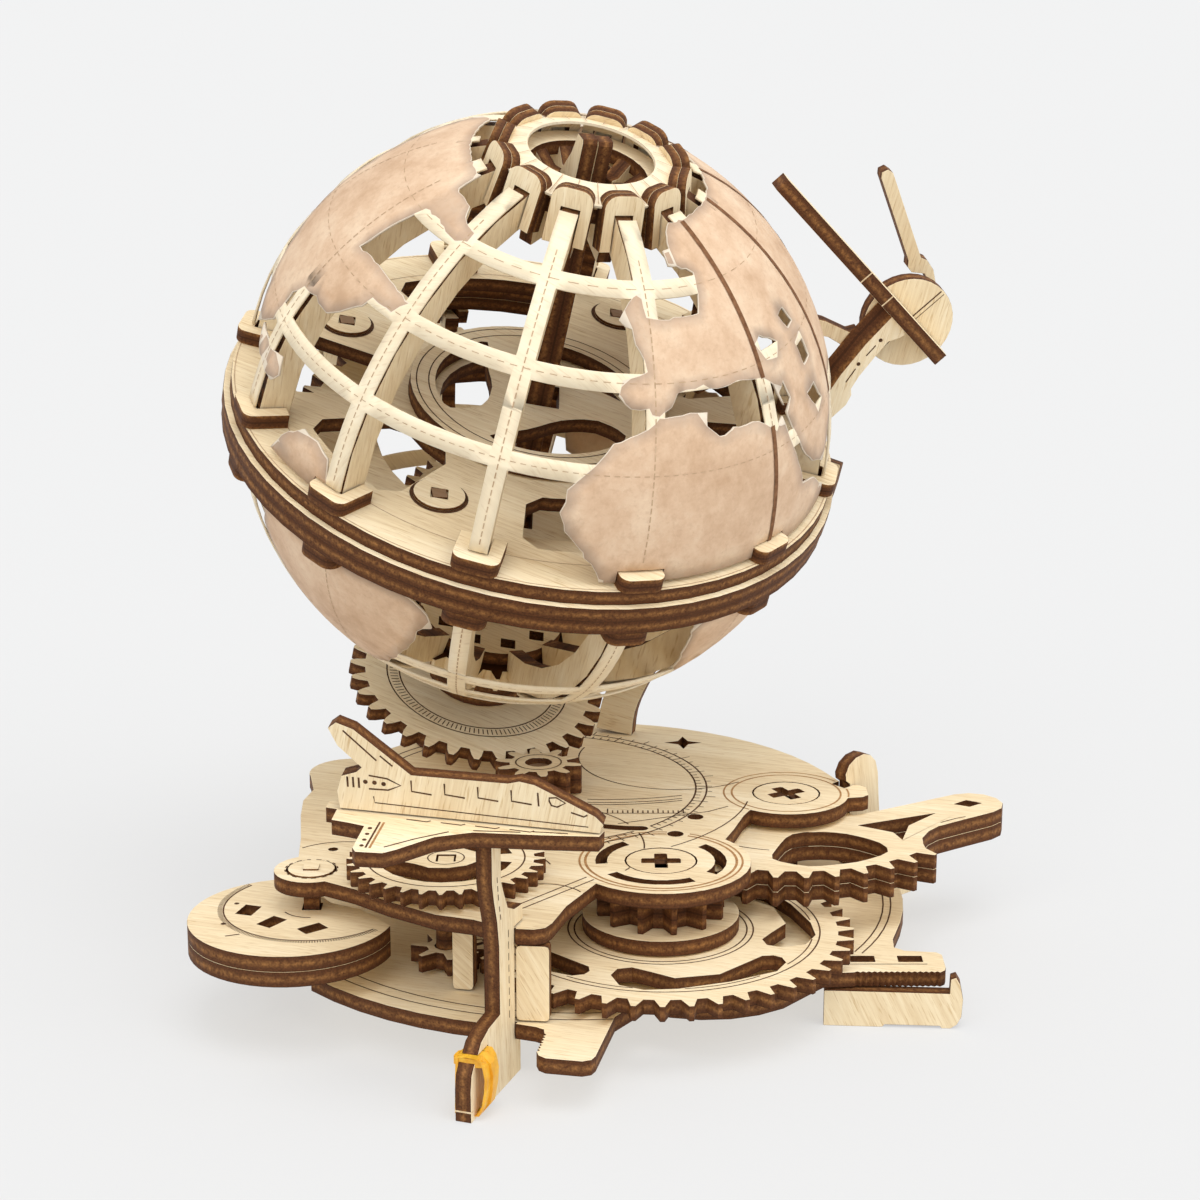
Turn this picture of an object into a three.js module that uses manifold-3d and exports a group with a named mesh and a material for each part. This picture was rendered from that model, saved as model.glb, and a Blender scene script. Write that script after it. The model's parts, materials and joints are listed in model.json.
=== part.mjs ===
// A hand-driven wooden orrery: an openwork globe on a tilted axle, turned by a toothed lever through gears.
// Millimetres, +Z up. Everything is drawn about the drive axle (x 0, y 0) with the deck's top at z 0,
// and the whole model is moved at the end so that it stands on z 0 and is centred on its own box.
import * as THREE from "three";
import { mergeVertices } from "three/addons/utils/BufferGeometryUtils.js";
import Module from "manifold-3d";

const wasm = await Module();
wasm.setup();

// ---- driving dimensions -------------------------------------------------------------------------
const PLY = 3; // thickness of every laser-cut sheet
const GAP = 0.3; // clearance between pieces that meet
const GLUE = 0.02; // between sheets glued face to face
const DEG = Math.PI / 180;

const DECK_TOP = 0;
const BASE_TOP = -18;
const GROUND = -28.3;
const DISC_CENTRE = [-15.5, 29]; // the round decks share this centre

const DRIVE_AXLE = [0, 0];
const LEVER_PIVOT = [26.1, 38];
const TRANSFER_AXLE = [-23.9, 38.2];
const IDLER_AXLE = [-40, -9];
const MOON_PIVOT = [-65.5, -4.4];

const LEVER_TEETH = 39; // on a full circle, although only a sector is cut
const DRIVE_PINION_TEETH = 12;
const DRIVE_GEAR_TEETH = 44;
const LOWER_PINION_TEETH = 12;
const UPPER_PINION_TEETH = 10;
const GLOBE_GEAR_TEETH = 32;
const STAR_TEETH = 7;
const IDLER_TEETH = 32;

const AXIS_TILT = 23 * DEG;
const AXIS_AZIMUTH = -60 * DEG; // the side that the globe's axis leans to
const GLOBE_CENTRE = [-24.1, 43, 77.9]; // centre of the equator plate's top face
const BAND_RADIUS = 60.8;
const RIB_OUTER = 56.8;
const RIB_WIDTH = 6;
const RIB_COUNT = 12;
const FIRST_RIB = -10 * DEG;
const SKIN_INNER = 57.5;
const SKIN_OUTER = 58.1;
const GLOBE_GEAR_TOP = -67.6; // along the globe's axis, from the equator plate's top
const AXLE_SIDE = 5;

// ---- materials ----------------------------------------------------------------------------------
const wood = (colour) => new THREE.MeshStandardMaterial({ color: colour, roughness: 0.7, metalness: 0 });
const BIRCH = wood(0xe8d5b4);
const BURNT = wood(0x5a3520);
const CARD = wood(0xd7b48c);
const RUBBER = new THREE.MeshStandardMaterial({ color: 0xf0af1e, roughness: 0.5, metalness: 0 });

// ---- helpers ------------------------------------------------------------------------------------
const polar = (r, a, c = [0, 0]) => [c[0] + r * Math.cos(a), c[1] + r * Math.sin(a)];
const distance = (a, b) => Math.hypot(b[0] - a[0], b[1] - a[1]);
const bearing = (a, b) => Math.atan2(b[1] - a[1], b[0] - a[0]);

function toSolid(geometry) {
  const bare = geometry.clone();
  bare.deleteAttribute("normal");
  bare.deleteAttribute("uv");
  const merged = mergeVertices(bare, 1e-4);
  return new wasm.Manifold(
    new wasm.Mesh({
      numProp: 3,
      vertProperties: merged.attributes.position.array,
      triVerts: new Uint32Array(merged.index.array),
    }),
  );
}

function toGeometry(solid) {
  const mesh = solid.getMesh();
  const geometry = new THREE.BufferGeometry();
  geometry.setAttribute("position", new THREE.BufferAttribute(new Float32Array(mesh.vertProperties), 3));
  geometry.setIndex(new THREE.BufferAttribute(new Uint32Array(mesh.triVerts), 1));
  geometry.computeVertexNormals();
  return geometry;
}

const cut = (from, ...tools) =>
  toGeometry(tools.reduce((solid, tool) => solid.subtract(toSolid(tool)), toSolid(from)));
const join = (first, ...others) =>
  toGeometry(others.reduce((solid, other) => solid.add(toSolid(other)), toSolid(first)));

// A sheet cut to an outline of [x, y] points, with holes, its lower face at z 0.
function sheet(points, holes = [], thickness = PLY) {
  const shape = new THREE.Shape(points.map(([x, y]) => new THREE.Vector2(x, y)));
  shape.holes = holes.map((hole) => new THREE.Path(hole.map(([x, y]) => new THREE.Vector2(x, y))));
  return new THREE.ExtrudeGeometry(shape, { depth: thickness, bevelEnabled: false });
}

// Points along an arc, from angle a to angle b.
const arcSteps = (r, sweep) => Math.max(2, Math.ceil((Math.abs(sweep) / DEG) * (r > 20 ? 0.16 : 0.09)));
function arc(centre, r, a, b, steps = arcSteps(r, b - a)) {
  return Array.from({ length: steps + 1 }, (_, i) => polar(r, a + ((b - a) * i) / steps, centre));
}

const circle = (centre, r, steps = 24) => arc(centre, r, 0, 2 * Math.PI, steps).slice(0, steps);
const square = ([x, y], side) => {
  const h = side / 2;
  return [[x - h, y - h], [x + h, y - h], [x + h, y + h], [x - h, y + h]];
};

// An outline whose corners are rounded to the given radius.
function rounded(points, r, steps = 3) {
  return points.flatMap((p, i) => {
    const before = points[(i + points.length - 1) % points.length];
    const after = points[(i + 1) % points.length];
    const reach = (q) => Math.min(r, distance(p, q) * 0.45) / distance(p, q);
    const a = [p[0] + (before[0] - p[0]) * reach(before), p[1] + (before[1] - p[1]) * reach(before)];
    const b = [p[0] + (after[0] - p[0]) * reach(after), p[1] + (after[1] - p[1]) * reach(after)];
    return Array.from({ length: steps + 1 }, (_, k) => {
      const t = k / steps;
      const w = [(1 - t) ** 2, 2 * t * (1 - t), t * t];
      return [w[0] * a[0] + w[1] * p[0] + w[2] * b[0], w[0] * a[1] + w[1] * p[1] + w[2] * b[1]];
    });
  });
}

// A band between two radii that follows an arc, with round ends: the outline of a curved slot.
function curvedSlot(centre, r, halfWidth, a, b) {
  const end = (angle, from) => arc(polar(r, angle, centre), halfWidth, from, from + Math.PI, 4).slice(1, -1);
  return [
    ...arc(centre, r + halfWidth, a, b, 6),
    ...end(b, b),
    ...arc(centre, r - halfWidth, b, a, 6),
    ...end(a, a + Math.PI),
  ];
}

// Gear teeth as points, counterclockwise. One tooth is centred on angle `phase`.
const FLANKED = [[-0.315, -1.12], [-0.215, 0], [-0.1, 0.78], [0.1, 0.78], [0.215, 0], [0.315, -1.12]];
const POINTED = [[-0.3, -1.1], [-0.08, 0.78], [0.08, 0.78], [0.3, -1.1]];
function teeth(count, module, phase, first = 0, last = count - 1, profile = POINTED) {
  const pitchRadius = (count * module) / 2;
  const step = (2 * Math.PI) / count;
  const points = [];
  for (let i = first; i <= last; i++)
    for (const [along, out] of profile)
      points.push(polar(pitchRadius + out * module, phase + (i + along) * step));
  return points;
}

// The tooth angle that a gear needs to mesh with another one that has a tooth at angle `phase`.
function meshPhase(count, phase, otherCount, direction) {
  return direction + Math.PI - ((phase - direction) * count) / otherCount + Math.PI / otherCount;
}

const root = new THREE.Group();
function place(parent, name, geometry, material, position = [0, 0, 0], rotation = [0, 0, 0]) {
  const mesh = new THREE.Mesh(geometry, material);
  mesh.name = name;
  mesh.position.set(...position);
  mesh.rotation.set(...rotation);
  parent.add(mesh);
  return mesh;
}
const at = ([x, y], z) => [x, y, z];

// ---- decks --------------------------------------------------------------------------------------
const bossArc = (centre, r, a, b) => arc(centre, r, a * DEG, b * DEG);
const DRIVE_BOSS = 17;
const LEVER_BOSS = 12.6;
const BUSH = 6.6;

const deckOutline = [
  [-28, -33.5], [-23.2, -34], [-21.2, -33.2], [-20, -31], [-17.6, -23],
  ...bossArc(DRIVE_AXLE, DRIVE_BOSS, -136, 42),
  [14.6, 17], [16.8, 24.5],
  ...bossArc(LEVER_PIVOT, LEVER_BOSS, -128, -14),
  [41.4, 35.6], [42.6, 36.8], [42.6, 41.4], [41.4, 42.6], [38.4, 42.8],
  ...bossArc(DISC_CENTRE, 55, 24, 140),
  ...bossArc([-63, 51], 8.5, 70, 200),
  [-69.6, 40], [-71, 33.5], [-70.6, 25], [-69.2, 12],
  ...bossArc(MOON_PIVOT, 7, 116, 296),
  [-56.5, -14.7], [-50, -20.6], [-41, -27], [-34, -29.4],
];
const slotArc = (a, b) => {
  const [inner, outer] = [10.2, 12.4];
  return [...arc(DRIVE_AXLE, outer, a * DEG, b * DEG, 7), ...arc(DRIVE_AXLE, inner, b * DEG, a * DEG, 7)];
};
const starHole = ([x, y], tip, waist) =>
  Array.from({ length: 8 }, (_, i) => polar(i % 2 ? waist : tip, (i * Math.PI) / 4, [x, y]));
const deckHoles = [
  circle(DRIVE_AXLE, BUSH + GAP),
  circle(LEVER_PIVOT, BUSH + GAP),
  circle(TRANSFER_AXLE, 3.4),
  circle(IDLER_AXLE, 3.4),
  circle(MOON_PIVOT, 4.8, 16),
  slotArc(125, 188),
  slotArc(-35, 45),
  slotArc(215, 300),
  circle([3.1, 14.4], 1.6, 12),
  circle([7.3, 24], 1.6, 12),
  curvedSlot([-4, 38], 20.5, 1.2, -112 * DEG, -88 * DEG),
  starHole([6.2, 70], 4, 1.5),
  circle([-62.4, 6], 1, 8),
  square([-27.2, -28.8], 1.6),
];
place(root, "deck_plate", sheet(deckOutline, deckHoles), BIRCH, [0, 0, DECK_TOP - PLY]);

const serrations = (from, to, count, depth) =>
  Array.from({ length: 2 * count + 1 }, (_, i) => {
    const t = i / (2 * count);
    const [dx, dy] = [to[0] - from[0], to[1] - from[1]];
    const k = (i % 2 ? depth : 0) / Math.hypot(dx, dy);
    return [from[0] + dx * t - dy * k, from[1] + dy * t + dx * k];
  });
const baseOutline = [
  ...bossArc(DISC_CENTRE, 65, -140, -104),
  [-27.6, -33.6], [-23, -35.3], [-21.5, -36.4],
  ...serrations([-21.4, -38], [-22.6, -45.5], 7, 0.5),
  [-22.2, -47.2], [-21, -48.3], [-14.6, -49.6], [-13, -49], [-12.2, -47.4], [-8.8, -31], [-4, -24],
  ...arc([8, -4], 22, -122 * DEG, -50 * DEG, 5),
  [30, -11.6],
  ...serrations([36, -11], [52, -11], 15, 0.5),
  [53, -10], [53.3, -8.6], [53.3, -2.6], [52.4, -1.4], [46.4, -0.6], [44.6, 1], [44.8, 5],
  ...bossArc(DISC_CENTRE, 64.5, -14, 20),
  [46.4, 52.6], [42, 57.6],
  ...bossArc(DISC_CENTRE, 52, 42, 206),
];
const tabSlot = ([x, y]) => [
  [x - 2.3, y - 1.45], [x + 2.3, y - 1.45], [x + 2.3, y + 1.45], [x - 2.3, y + 1.45],
];
place(
  root,
  "base_plate",
  cut(sheet(baseOutline), sheet(tabSlot([38, -4.6])), sheet(tabSlot([47, -4.6]))),
  BIRCH,
  [0, 0, BASE_TOP - PLY],
);

// ---- legs, spacers and the band -----------------------------------------------------------------
// The front leg is a standing sheet seen almost edge on. Its outline is drawn in its own plane:
// s runs back along the sheet from the toe, z is height.
const FRONT_LEG_TOE = [-35.2, -52.4];
const FRONT_LEG_BEARING = 70 * DEG;
function upright(points, holes, bearingAngle, origin, thickness = PLY) {
  const geometry = sheet(points, holes, thickness);
  geometry.translate(0, 0, -thickness / 2);
  geometry.rotateX(Math.PI / 2); // outline x stays level, outline y becomes height
  geometry.rotateZ(bearingAngle);
  geometry.translate(origin[0], origin[1], 0);
  return geometry;
}
const BAND_NOTCH = [-18.5, -16.9]; // the notch between the two hooks that holds the rubber band
const ARCH = GROUND + 1.3; // the toe's underside, raised where the band passes
const frontLegOutline = [
  [0.2, GROUND], [2.8, GROUND], [3.1, ARCH], [9.4, ARCH], [9.8, GROUND], [23.4, GROUND],
  [23.4, BASE_TOP - PLY - GAP], [20.8, BASE_TOP - PLY - GAP], [20.8, DECK_TOP + GAP], [25, DECK_TOP + GAP],
  [25, 3.2], [21, 3.6], [18, 5], [16.2, 8.4], [15, 11], [14.9, 18.2],
  [10.7, 18.8], [10.8, 12], [11.6, 8.4], [13, 4], [13.8, -1], [13.9, -13.6],
  [8.6, -14], [5, -15.2], [3.4, BAND_NOTCH[1]], [8.2, BAND_NOTCH[1]],
  [8.4, BAND_NOTCH[0]], [5, BAND_NOTCH[0]], [2, -17.9], [0.6, -19.6], [0.1, -22.4],
];
const frontLeg = upright(frontLegOutline, [], FRONT_LEG_BEARING, FRONT_LEG_TOE);

const rightLegOutline = [
  [0, GROUND], [11, GROUND], [11.4, GROUND + 0.5], [21.6, GROUND + 0.5], [22, GROUND], [23.6, GROUND],
  [24.8, GROUND + 0.8], [25.6, GROUND + 2.4], [25.8, -22.4], [25.2, -19.4], [24.4, -18], [23.4, -18.4],
  [23.3, BASE_TOP - PLY - GAP], [0, BASE_TOP - PLY - GAP],
];
const RIGHT_LEG_BEARING = -4 * DEG;

const HOOK_BEARING = 42 * DEG;
const HOOK_LEG_CORNER = [38.4, 43.6];
const backHookOutline = [
  [0, DECK_TOP - PLY - GAP], [0, DECK_TOP + GAP], [-1.2, 1.2], [-1.4, 2.6], [-0.4, 4.4], [1.6, 5.6], [4, 5.9],
  [6, 5.2], [7.6, 3.6], [8.4, 1], [8.8, -4], [9.6, -12], [13.4, -16.4], [18.8, -18.4],
  [20.6, -21], [20.8, -27],
  [19.8, GROUND], [13.8, GROUND], [12.8, -26], [12.4, BASE_TOP + GAP], [0.6, BASE_TOP + GAP],
].reverse();
const rearLegOutline = [[-12, BASE_TOP - PLY - GAP], [-9, GROUND], [9, GROUND], [12, BASE_TOP - PLY - GAP]];

// The legs pass beside the plates in notches, so the plates are cut back round them.
function notch(mesh, tool) {
  const grown = tool.clone();
  mesh.geometry = cut(mesh.geometry.clone().translate(0, 0, mesh.position.z), grown);
  mesh.position.set(0, 0, 0);
}
const legClearance = upright(
  [[5, -24], [5, 6], [21.1, 6], [21.1, -24]],
  [],
  FRONT_LEG_BEARING,
  FRONT_LEG_TOE,
  PLY + 2 * GAP,
);
const named = (name) => root.children.find((child) => child.name === name);
notch(named("deck_plate"), legClearance);
notch(named("base_plate"), legClearance);
const hookClearance = upright(
  [[-2, -3.2], [-2, 7], [9.4, 7], [9.4, -3.2]],
  [],
  HOOK_BEARING,
  HOOK_LEG_CORNER,
  PLY + 2 * GAP,
);
notch(named("deck_plate"), hookClearance);
const hookFootClearance = upright(
  [[12, -22], [12, -17], [24, -17], [24, -22]],
  [],
  HOOK_BEARING,
  HOOK_LEG_CORNER,
  PLY + 2 * GAP,
);
notch(named("base_plate"), hookFootClearance);

place(root, "front_leg", frontLeg, BIRCH);
place(root, "right_leg", upright(rightLegOutline, [], RIGHT_LEG_BEARING, [30.4, -10.4]), BIRCH);
place(root, "back_hook_leg", upright(backHookOutline, [], HOOK_BEARING, HOOK_LEG_CORNER), BIRCH);
place(root, "rear_leg", upright(rearLegOutline, [], -20 * DEG, [-42, 66]), BIRCH);

const spacerOutline = (width) => {
  const [low, high] = [BASE_TOP + GAP, DECK_TOP - PLY - GAP];
  return rounded([[0, low], [width, low], [width, high], [0, high]], 0.8, 2);
};
place(root, "front_spacer_right", upright(spacerOutline(6), [], -6 * DEG, [-26.3, -31.8]), BIRCH);
place(root, "front_spacer_left", upright(spacerOutline(3.9), [], -12 * DEG, [-38.2, -17.8]), BIRCH);
place(root, "rear_spacer", upright(spacerOutline(30), [], -24 * DEG, [-30, 74.6]), BIRCH);

// A flat rubber band goes through the notch, down both faces of the toe and under its arch.
const BAND_WALL = 0.7;
const bandOuter = [PLY / 2 + GAP + BAND_WALL, BAND_NOTCH[1] - GAP, ARCH - GAP - BAND_WALL];
function bandRing([halfWidth, high, low], wall, from, to) {
  const box = (w, h, l) => [[-w, l], [w, l], [w, h], [-w, h]];
  const ringSheet = sheet(
    rounded(box(halfWidth, high, low), 0.8, 2),
    [box(halfWidth - wall, high - wall, low + wall)],
    to - from,
  );
  ringSheet.rotateX(Math.PI / 2).rotateZ(Math.PI / 2).translate(from, 0, 0);
  return ringSheet.rotateZ(FRONT_LEG_BEARING).translate(...at(FRONT_LEG_TOE, 0));
}
place(root, "rubber_band", bandRing(bandOuter, BAND_WALL, 3.6, 7.8), RUBBER);

// ---- lever --------------------------------------------------------------------------------------
const leverModule = (2 * distance(DRIVE_AXLE, LEVER_PIVOT)) / (LEVER_TEETH + DRIVE_PINION_TEETH);
const toDrive = bearing(LEVER_PIVOT, DRIVE_AXLE);
const LEVER_LAST_TOOTH = 9;
const sector = teeth(LEVER_TEETH, leverModule, toDrive, -1, LEVER_LAST_TOOTH);
const leverOutline = [
  ...sector,
  [25.8, -18.4], [26, -15], [27.6, -11.4], [30, -8.4], [34, -5.6],
  ...arc([38.4, 5], 6.3, -56 * DEG, 118 * DEG, 6),
  [19, 0.8], [13.6, -2],
  ...arc([0, 0], 12.2, 0, 196 * DEG, 10),
  [-15, -10], [-22, -20],
];
const leverWindow = rounded(
  [
    [-2.3, -18.4], [0.1, -12.6], [6, -11.4], [11.4, -12.6], [17.6, -17.6],
    [19, -23], [12, -28.4], [2.2, -31], [-5, -26.8],
  ],
  2.6,
  2,
);
const leverNotch = [[13.8, -7.9], [20.6, -12], [21.9, -16.1], [24, -8], [30.3, -0.7]];
const leverHoles = [
  circle([0, 0], 2.9, 16),
  leverWindow,
  leverNotch,
  [[34.6, 4.6], [37.6, 3], [40.4, 5.2], [37.4, 7]],
];
const LEVER_TOP = -4;
const leverSheet = sheet(leverOutline, leverHoles, PLY - GLUE);
place(root, "lever_upper_sheet", leverSheet, BIRCH, at(LEVER_PIVOT, LEVER_TOP - PLY + GLUE));
place(root, "lever_lower_sheet", leverSheet, BIRCH, at(LEVER_PIVOT, LEVER_TOP - 2 * PLY));

// An axle with a bush on top that turns in a round hole of the deck, and a cross-shaped recess.
function bushedAxle(bushRadius, axleRadius, bottom) {
  const profile = [
    [0, bottom], [axleRadius, bottom], [axleRadius, -3.4],
    [bushRadius, -3.4], [bushRadius, DECK_TOP], [0, DECK_TOP],
  ];
  const lathe = new THREE.LatheGeometry(profile.map(([r, z]) => new THREE.Vector2(r, z)), 24);
  lathe.rotateX(Math.PI / 2);
  const bar = new THREE.BoxGeometry(7.4, 2.4, 3).translate(0, 0, 0.3);
  const cross = new THREE.BoxGeometry(2.4, 7.4, 3).translate(0, 0, 0.3);
  return cut(lathe, bar, cross);
}
place(root, "lever_axle", bushedAxle(BUSH, 2.6, BASE_TOP + GAP), BIRCH, at(LEVER_PIVOT, 0), [0, 0, 0.5]);
place(root, "drive_axle", bushedAxle(BUSH, 2.6, BASE_TOP + GAP), BIRCH, at(DRIVE_AXLE, 0));

// ---- drive stack --------------------------------------------------------------------------------
const pinionPhase = meshPhase(LEVER_TEETH, toDrive, DRIVE_PINION_TEETH, toDrive);
place(
  root,
  "drive_pinion",
  sheet(teeth(DRIVE_PINION_TEETH, leverModule, pinionPhase), [circle([0, 0], 2.9)], 2 * PLY),
  BURNT,
  [0, 0, -10.2],
);
const driveHub = sheet(circle([0, 0], 14.9, 40), [circle([0, 0], 2.9)], PLY);
place(root, "drive_hub", driveHub, BIRCH, [0, 0, -13.25]);

const driveModule = (2 * distance(DRIVE_AXLE, TRANSFER_AXLE)) / (DRIVE_GEAR_TEETH + LOWER_PINION_TEETH);
const toTransfer = bearing(DRIVE_AXLE, TRANSFER_AXLE);
const DRIVE_GEAR_BOTTOM = -16.5;
// A comma-shaped window that sweeps outwards as it goes round the gear.
// A window is a waisted slot along the rim: [share of its sweep, inner radius, outer radius].
const WINDOW_SWEEP = 80 * DEG;
const windowRadii = [
  [0, 21.4, 24.4], [0.08, 19.8, 28.2], [0.2, 21, 29.4], [0.35, 24, 28.8],
  [0.6, 24.4, 28.2], [0.85, 22.8, 29.4], [0.96, 23, 28.2], [1, 24.6, 26.4],
];
const sweptWindow = (start) => [
  ...windowRadii.map(([t, inner]) => polar(inner, start + t * WINDOW_SWEEP)),
  ...windowRadii.map(([t, , outer]) => polar(outer, start + t * WINDOW_SWEEP)).reverse(),
];
const driveWindows = [0, 1, 2, 3].map((i) => sweptWindow((-113 + i * 90) * DEG));
place(
  root,
  "drive_gear",
  sheet(teeth(DRIVE_GEAR_TEETH, driveModule, toTransfer), [circle([0, 0], 2.9), ...driveWindows], PLY - 0.1),
  BIRCH,
  [0, 0, DRIVE_GEAR_BOTTOM],
);

// ---- transfer shaft -----------------------------------------------------------------------------
const lowerPhase = meshPhase(DRIVE_GEAR_TEETH, toTransfer, LOWER_PINION_TEETH, toTransfer);
place(
  root,
  "lower_pinion",
  sheet(teeth(LOWER_PINION_TEETH, driveModule, lowerPhase), [circle([0, 0], 2.7, 16)], PLY + 0.4),
  BURNT,
  at(TRANSFER_AXLE, -16.8),
);
const PINION_LOW = 0.5;
const PINION_HIGH = 6.5;
place(
  root,
  "transfer_axle",
  new THREE.CylinderGeometry(2.4, 2.4, PINION_HIGH - 1 - BASE_TOP - GAP, 16)
    .rotateX(Math.PI / 2)
    .translate(0, 0, (PINION_HIGH - 1 + BASE_TOP + GAP) / 2),
  BURNT,
  at(TRANSFER_AXLE, 0),
);

// ---- idler and star wheel -----------------------------------------------------------------------
const toIdler = bearing(DRIVE_AXLE, IDLER_AXLE);
const starPhase = meshPhase(DRIVE_GEAR_TEETH, toTransfer, STAR_TEETH, toIdler);
const starModule = (2 * distance(DRIVE_AXLE, IDLER_AXLE)) / (DRIVE_GEAR_TEETH + STAR_TEETH);
place(
  root,
  "star_wheel",
  sheet(teeth(STAR_TEETH, starModule, starPhase), [circle([0, 0], 2.4, 12)], PLY + 0.4),
  BURNT,
  at(IDLER_AXLE, -16.8),
);
// The idler's broad S-shaped spoke leaves two comma-shaped windows.
const idlerWindow = (turn) =>
  [
    ...arc([0, 0], 12.4, 3 * DEG, 162 * DEG, 10),
    [-7.4, 2.4], [-5.4, 2.8], [-3.4, 4.4], [0, 5.2], [3.6, 4.6], [6, 2.2], [8.4, 0.6],
  ].map(([x, y]) => [x * Math.cos(turn) - y * Math.sin(turn), x * Math.sin(turn) + y * Math.cos(turn)]);
place(
  root,
  "idler_gear",
  cut(
    sheet(teeth(IDLER_TEETH, 1.1, 0)),
    ...[square([0, 0], 3.6), idlerWindow(8 * DEG), idlerWindow(188 * DEG)].map((hole) => sheet(hole)),
  ),
  BIRCH,
  at(IDLER_AXLE, 1),
);
place(
  root,
  "idler_axle",
  join(
    new THREE.CylinderGeometry(2.1, 2.1, -BASE_TOP - GAP, 16)
      .rotateX(Math.PI / 2)
      .translate(0, 0, (BASE_TOP + GAP) / 2),
    new THREE.BoxGeometry(2.9, 2.9, 4.4).translate(0, 0, 1.6),
  ),
  BURNT,
  at(IDLER_AXLE, 0),
);

// ---- moon disc ----------------------------------------------------------------------------------
const MOON_CENTRE = [-68.9, -9.2];
const MOON_RADIUS = 19.3;
const moonPoint = ([x, y]) => [x - MOON_PIVOT[0], y - MOON_PIVOT[1]];
const moonOutline = [
  ...arc(moonPoint(MOON_CENTRE), MOON_RADIUS, 80 * DEG, 346 * DEG, 40),
  [9.3, -1.4], [3.3, 1.9], [0.6, 6.4],
];
const moonHole = ([x, y, turn]) => {
  const long = polar(2.4, turn * DEG);
  const short = polar(1.6, (turn + 90) * DEG);
  return [[-1, -1], [1, -1], [1, 1], [-1, 1]].map(([i, j]) => [
    x + i * long[0] + j * short[0], y + i * long[1] + j * short[1],
  ]);
};
const moonHoles = [[-11.8, -1.8, 72], [-6.8, -7.6, 55], [1.1, -10.7, 38]].map(moonHole);
const MOON_TOP = -7.5;
const moonSheet = sheet(moonOutline, [...moonHoles, square([0, 0], 3.6)], PLY - GLUE);
place(root, "moon_top_sheet", moonSheet, BIRCH, at(MOON_PIVOT, MOON_TOP - PLY + GLUE));
place(root, "moon_lower_sheet", moonSheet, BIRCH, at(MOON_PIVOT, MOON_TOP - 2 * PLY));
place(
  root,
  "moon_axle",
  join(
    new THREE.CylinderGeometry(4.4, 4.4, 4, 20).rotateX(Math.PI / 2).translate(0, 0, -1.8),
    new THREE.BoxGeometry(2.9, 2.9, 14.2).translate(0, 0, -6.5),
  ),
  BURNT,
  at(MOON_PIVOT, 0),
);

// ---- globe --------------------------------------------------------------------------------------
const axis = new THREE.Vector3(
  Math.sin(AXIS_TILT) * Math.cos(AXIS_AZIMUTH),
  Math.sin(AXIS_TILT) * Math.sin(AXIS_AZIMUTH),
  Math.cos(AXIS_TILT),
);
const across = new THREE.Vector3(1, 0, 0).addScaledVector(axis, -axis.x).normalize();
const along = axis.clone().cross(across);
const globe = new THREE.Group();
globe.position.set(...GLOBE_CENTRE);
globe.quaternion.setFromRotationMatrix(new THREE.Matrix4().makeBasis(across, along, axis));
root.add(globe);

const ring = (outer, inner, thickness, steps = 60) =>
  sheet(circle([0, 0], outer, steps), [circle([0, 0], inner, Math.min(steps, 48))], thickness);
const onAxis = (height) => [0, 0, height];

// The equator plate carries the ribs. Its windows leave curved arms round a central opening.
const plateWindow = (angle, sweep, inner, outer) =>
  rounded(
    [...arc([0, 0], outer, angle, angle + sweep, 4), ...arc([0, 0], inner, angle + sweep, angle, 3)],
    3,
    1,
  );
place(
  globe,
  "equator_plate",
  sheet(
    circle([0, 0], BAND_RADIUS - 1.2, 60),
    [
      circle([0, 0], 19, 30),
      plateWindow(-92 * DEG, 42 * DEG, 31, 48),
      plateWindow(-40 * DEG, 50 * DEG, 31, 49),
      plateWindow(24 * DEG, 32 * DEG, 31, 49),
      plateWindow(84 * DEG, 44 * DEG, 27, 50),
      plateWindow(163 * DEG, 27 * DEG, 29, 50),
      plateWindow(202 * DEG, 34 * DEG, 27, 47),
    ],
    PLY - GLUE,
  ),
  BIRCH,
  onAxis(-PLY + GLUE),
);
place(globe, "equator_ring_middle", ring(BAND_RADIUS, 52, PLY - GLUE), BIRCH, onAxis(-2 * PLY));
place(globe, "equator_ring_lower", ring(BAND_RADIUS - 0.3, 52, PLY - GLUE), BIRCH, onAxis(-3 * PLY - GLUE));

// A wheel with three S-shaped spokes lies on the plate, and a toothed ring under it.
const spokeWindow = (start) =>
  rounded(
    [...arc([0, 0], 20.6, start, start + 92 * DEG, 7), polar(13, start + 96 * DEG),
      polar(9, start + 60 * DEG),
      polar(13.6, start + 22 * DEG)],
    3,
    2,
  );
place(
  globe,
  "spoked_wheel",
  sheet(circle([0, 0], 25.4, 48), [
    ...[0, 120, 240].map((a) => spokeWindow(a * DEG)),
    square([0, 0], AXLE_SIDE + 3),
  ]),
  BIRCH,
  onAxis(0.4),
);
place(globe, "inner_gear", sheet(teeth(56, 1.62, 0), [circle([0, 0], 30, 36)]), BURNT, onAxis(-13));
// The pierced disc lies on the toothed ring at the south pole, and a dark gear is higher up.
const pierced = Array.from({ length: 10 }, (_, i) => square(polar(11.6, i * 36 * DEG), 2.9));
place(
  globe,
  "pierced_disc",
  cut(
    sheet(circle([0, 0], 15, 36)),
    ...[...pierced, square([0, 0], AXLE_SIDE + 3)].map((hole) => sheet(hole)),
  ),
  BIRCH,
  onAxis(-52.3),
);
place(
  globe,
  "lower_gear",
  sheet(teeth(36, 1.25, 0), [square([0, 0], AXLE_SIDE + 3)], 2 * PLY),
  BURNT,
  onAxis(-31.4),
);

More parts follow.
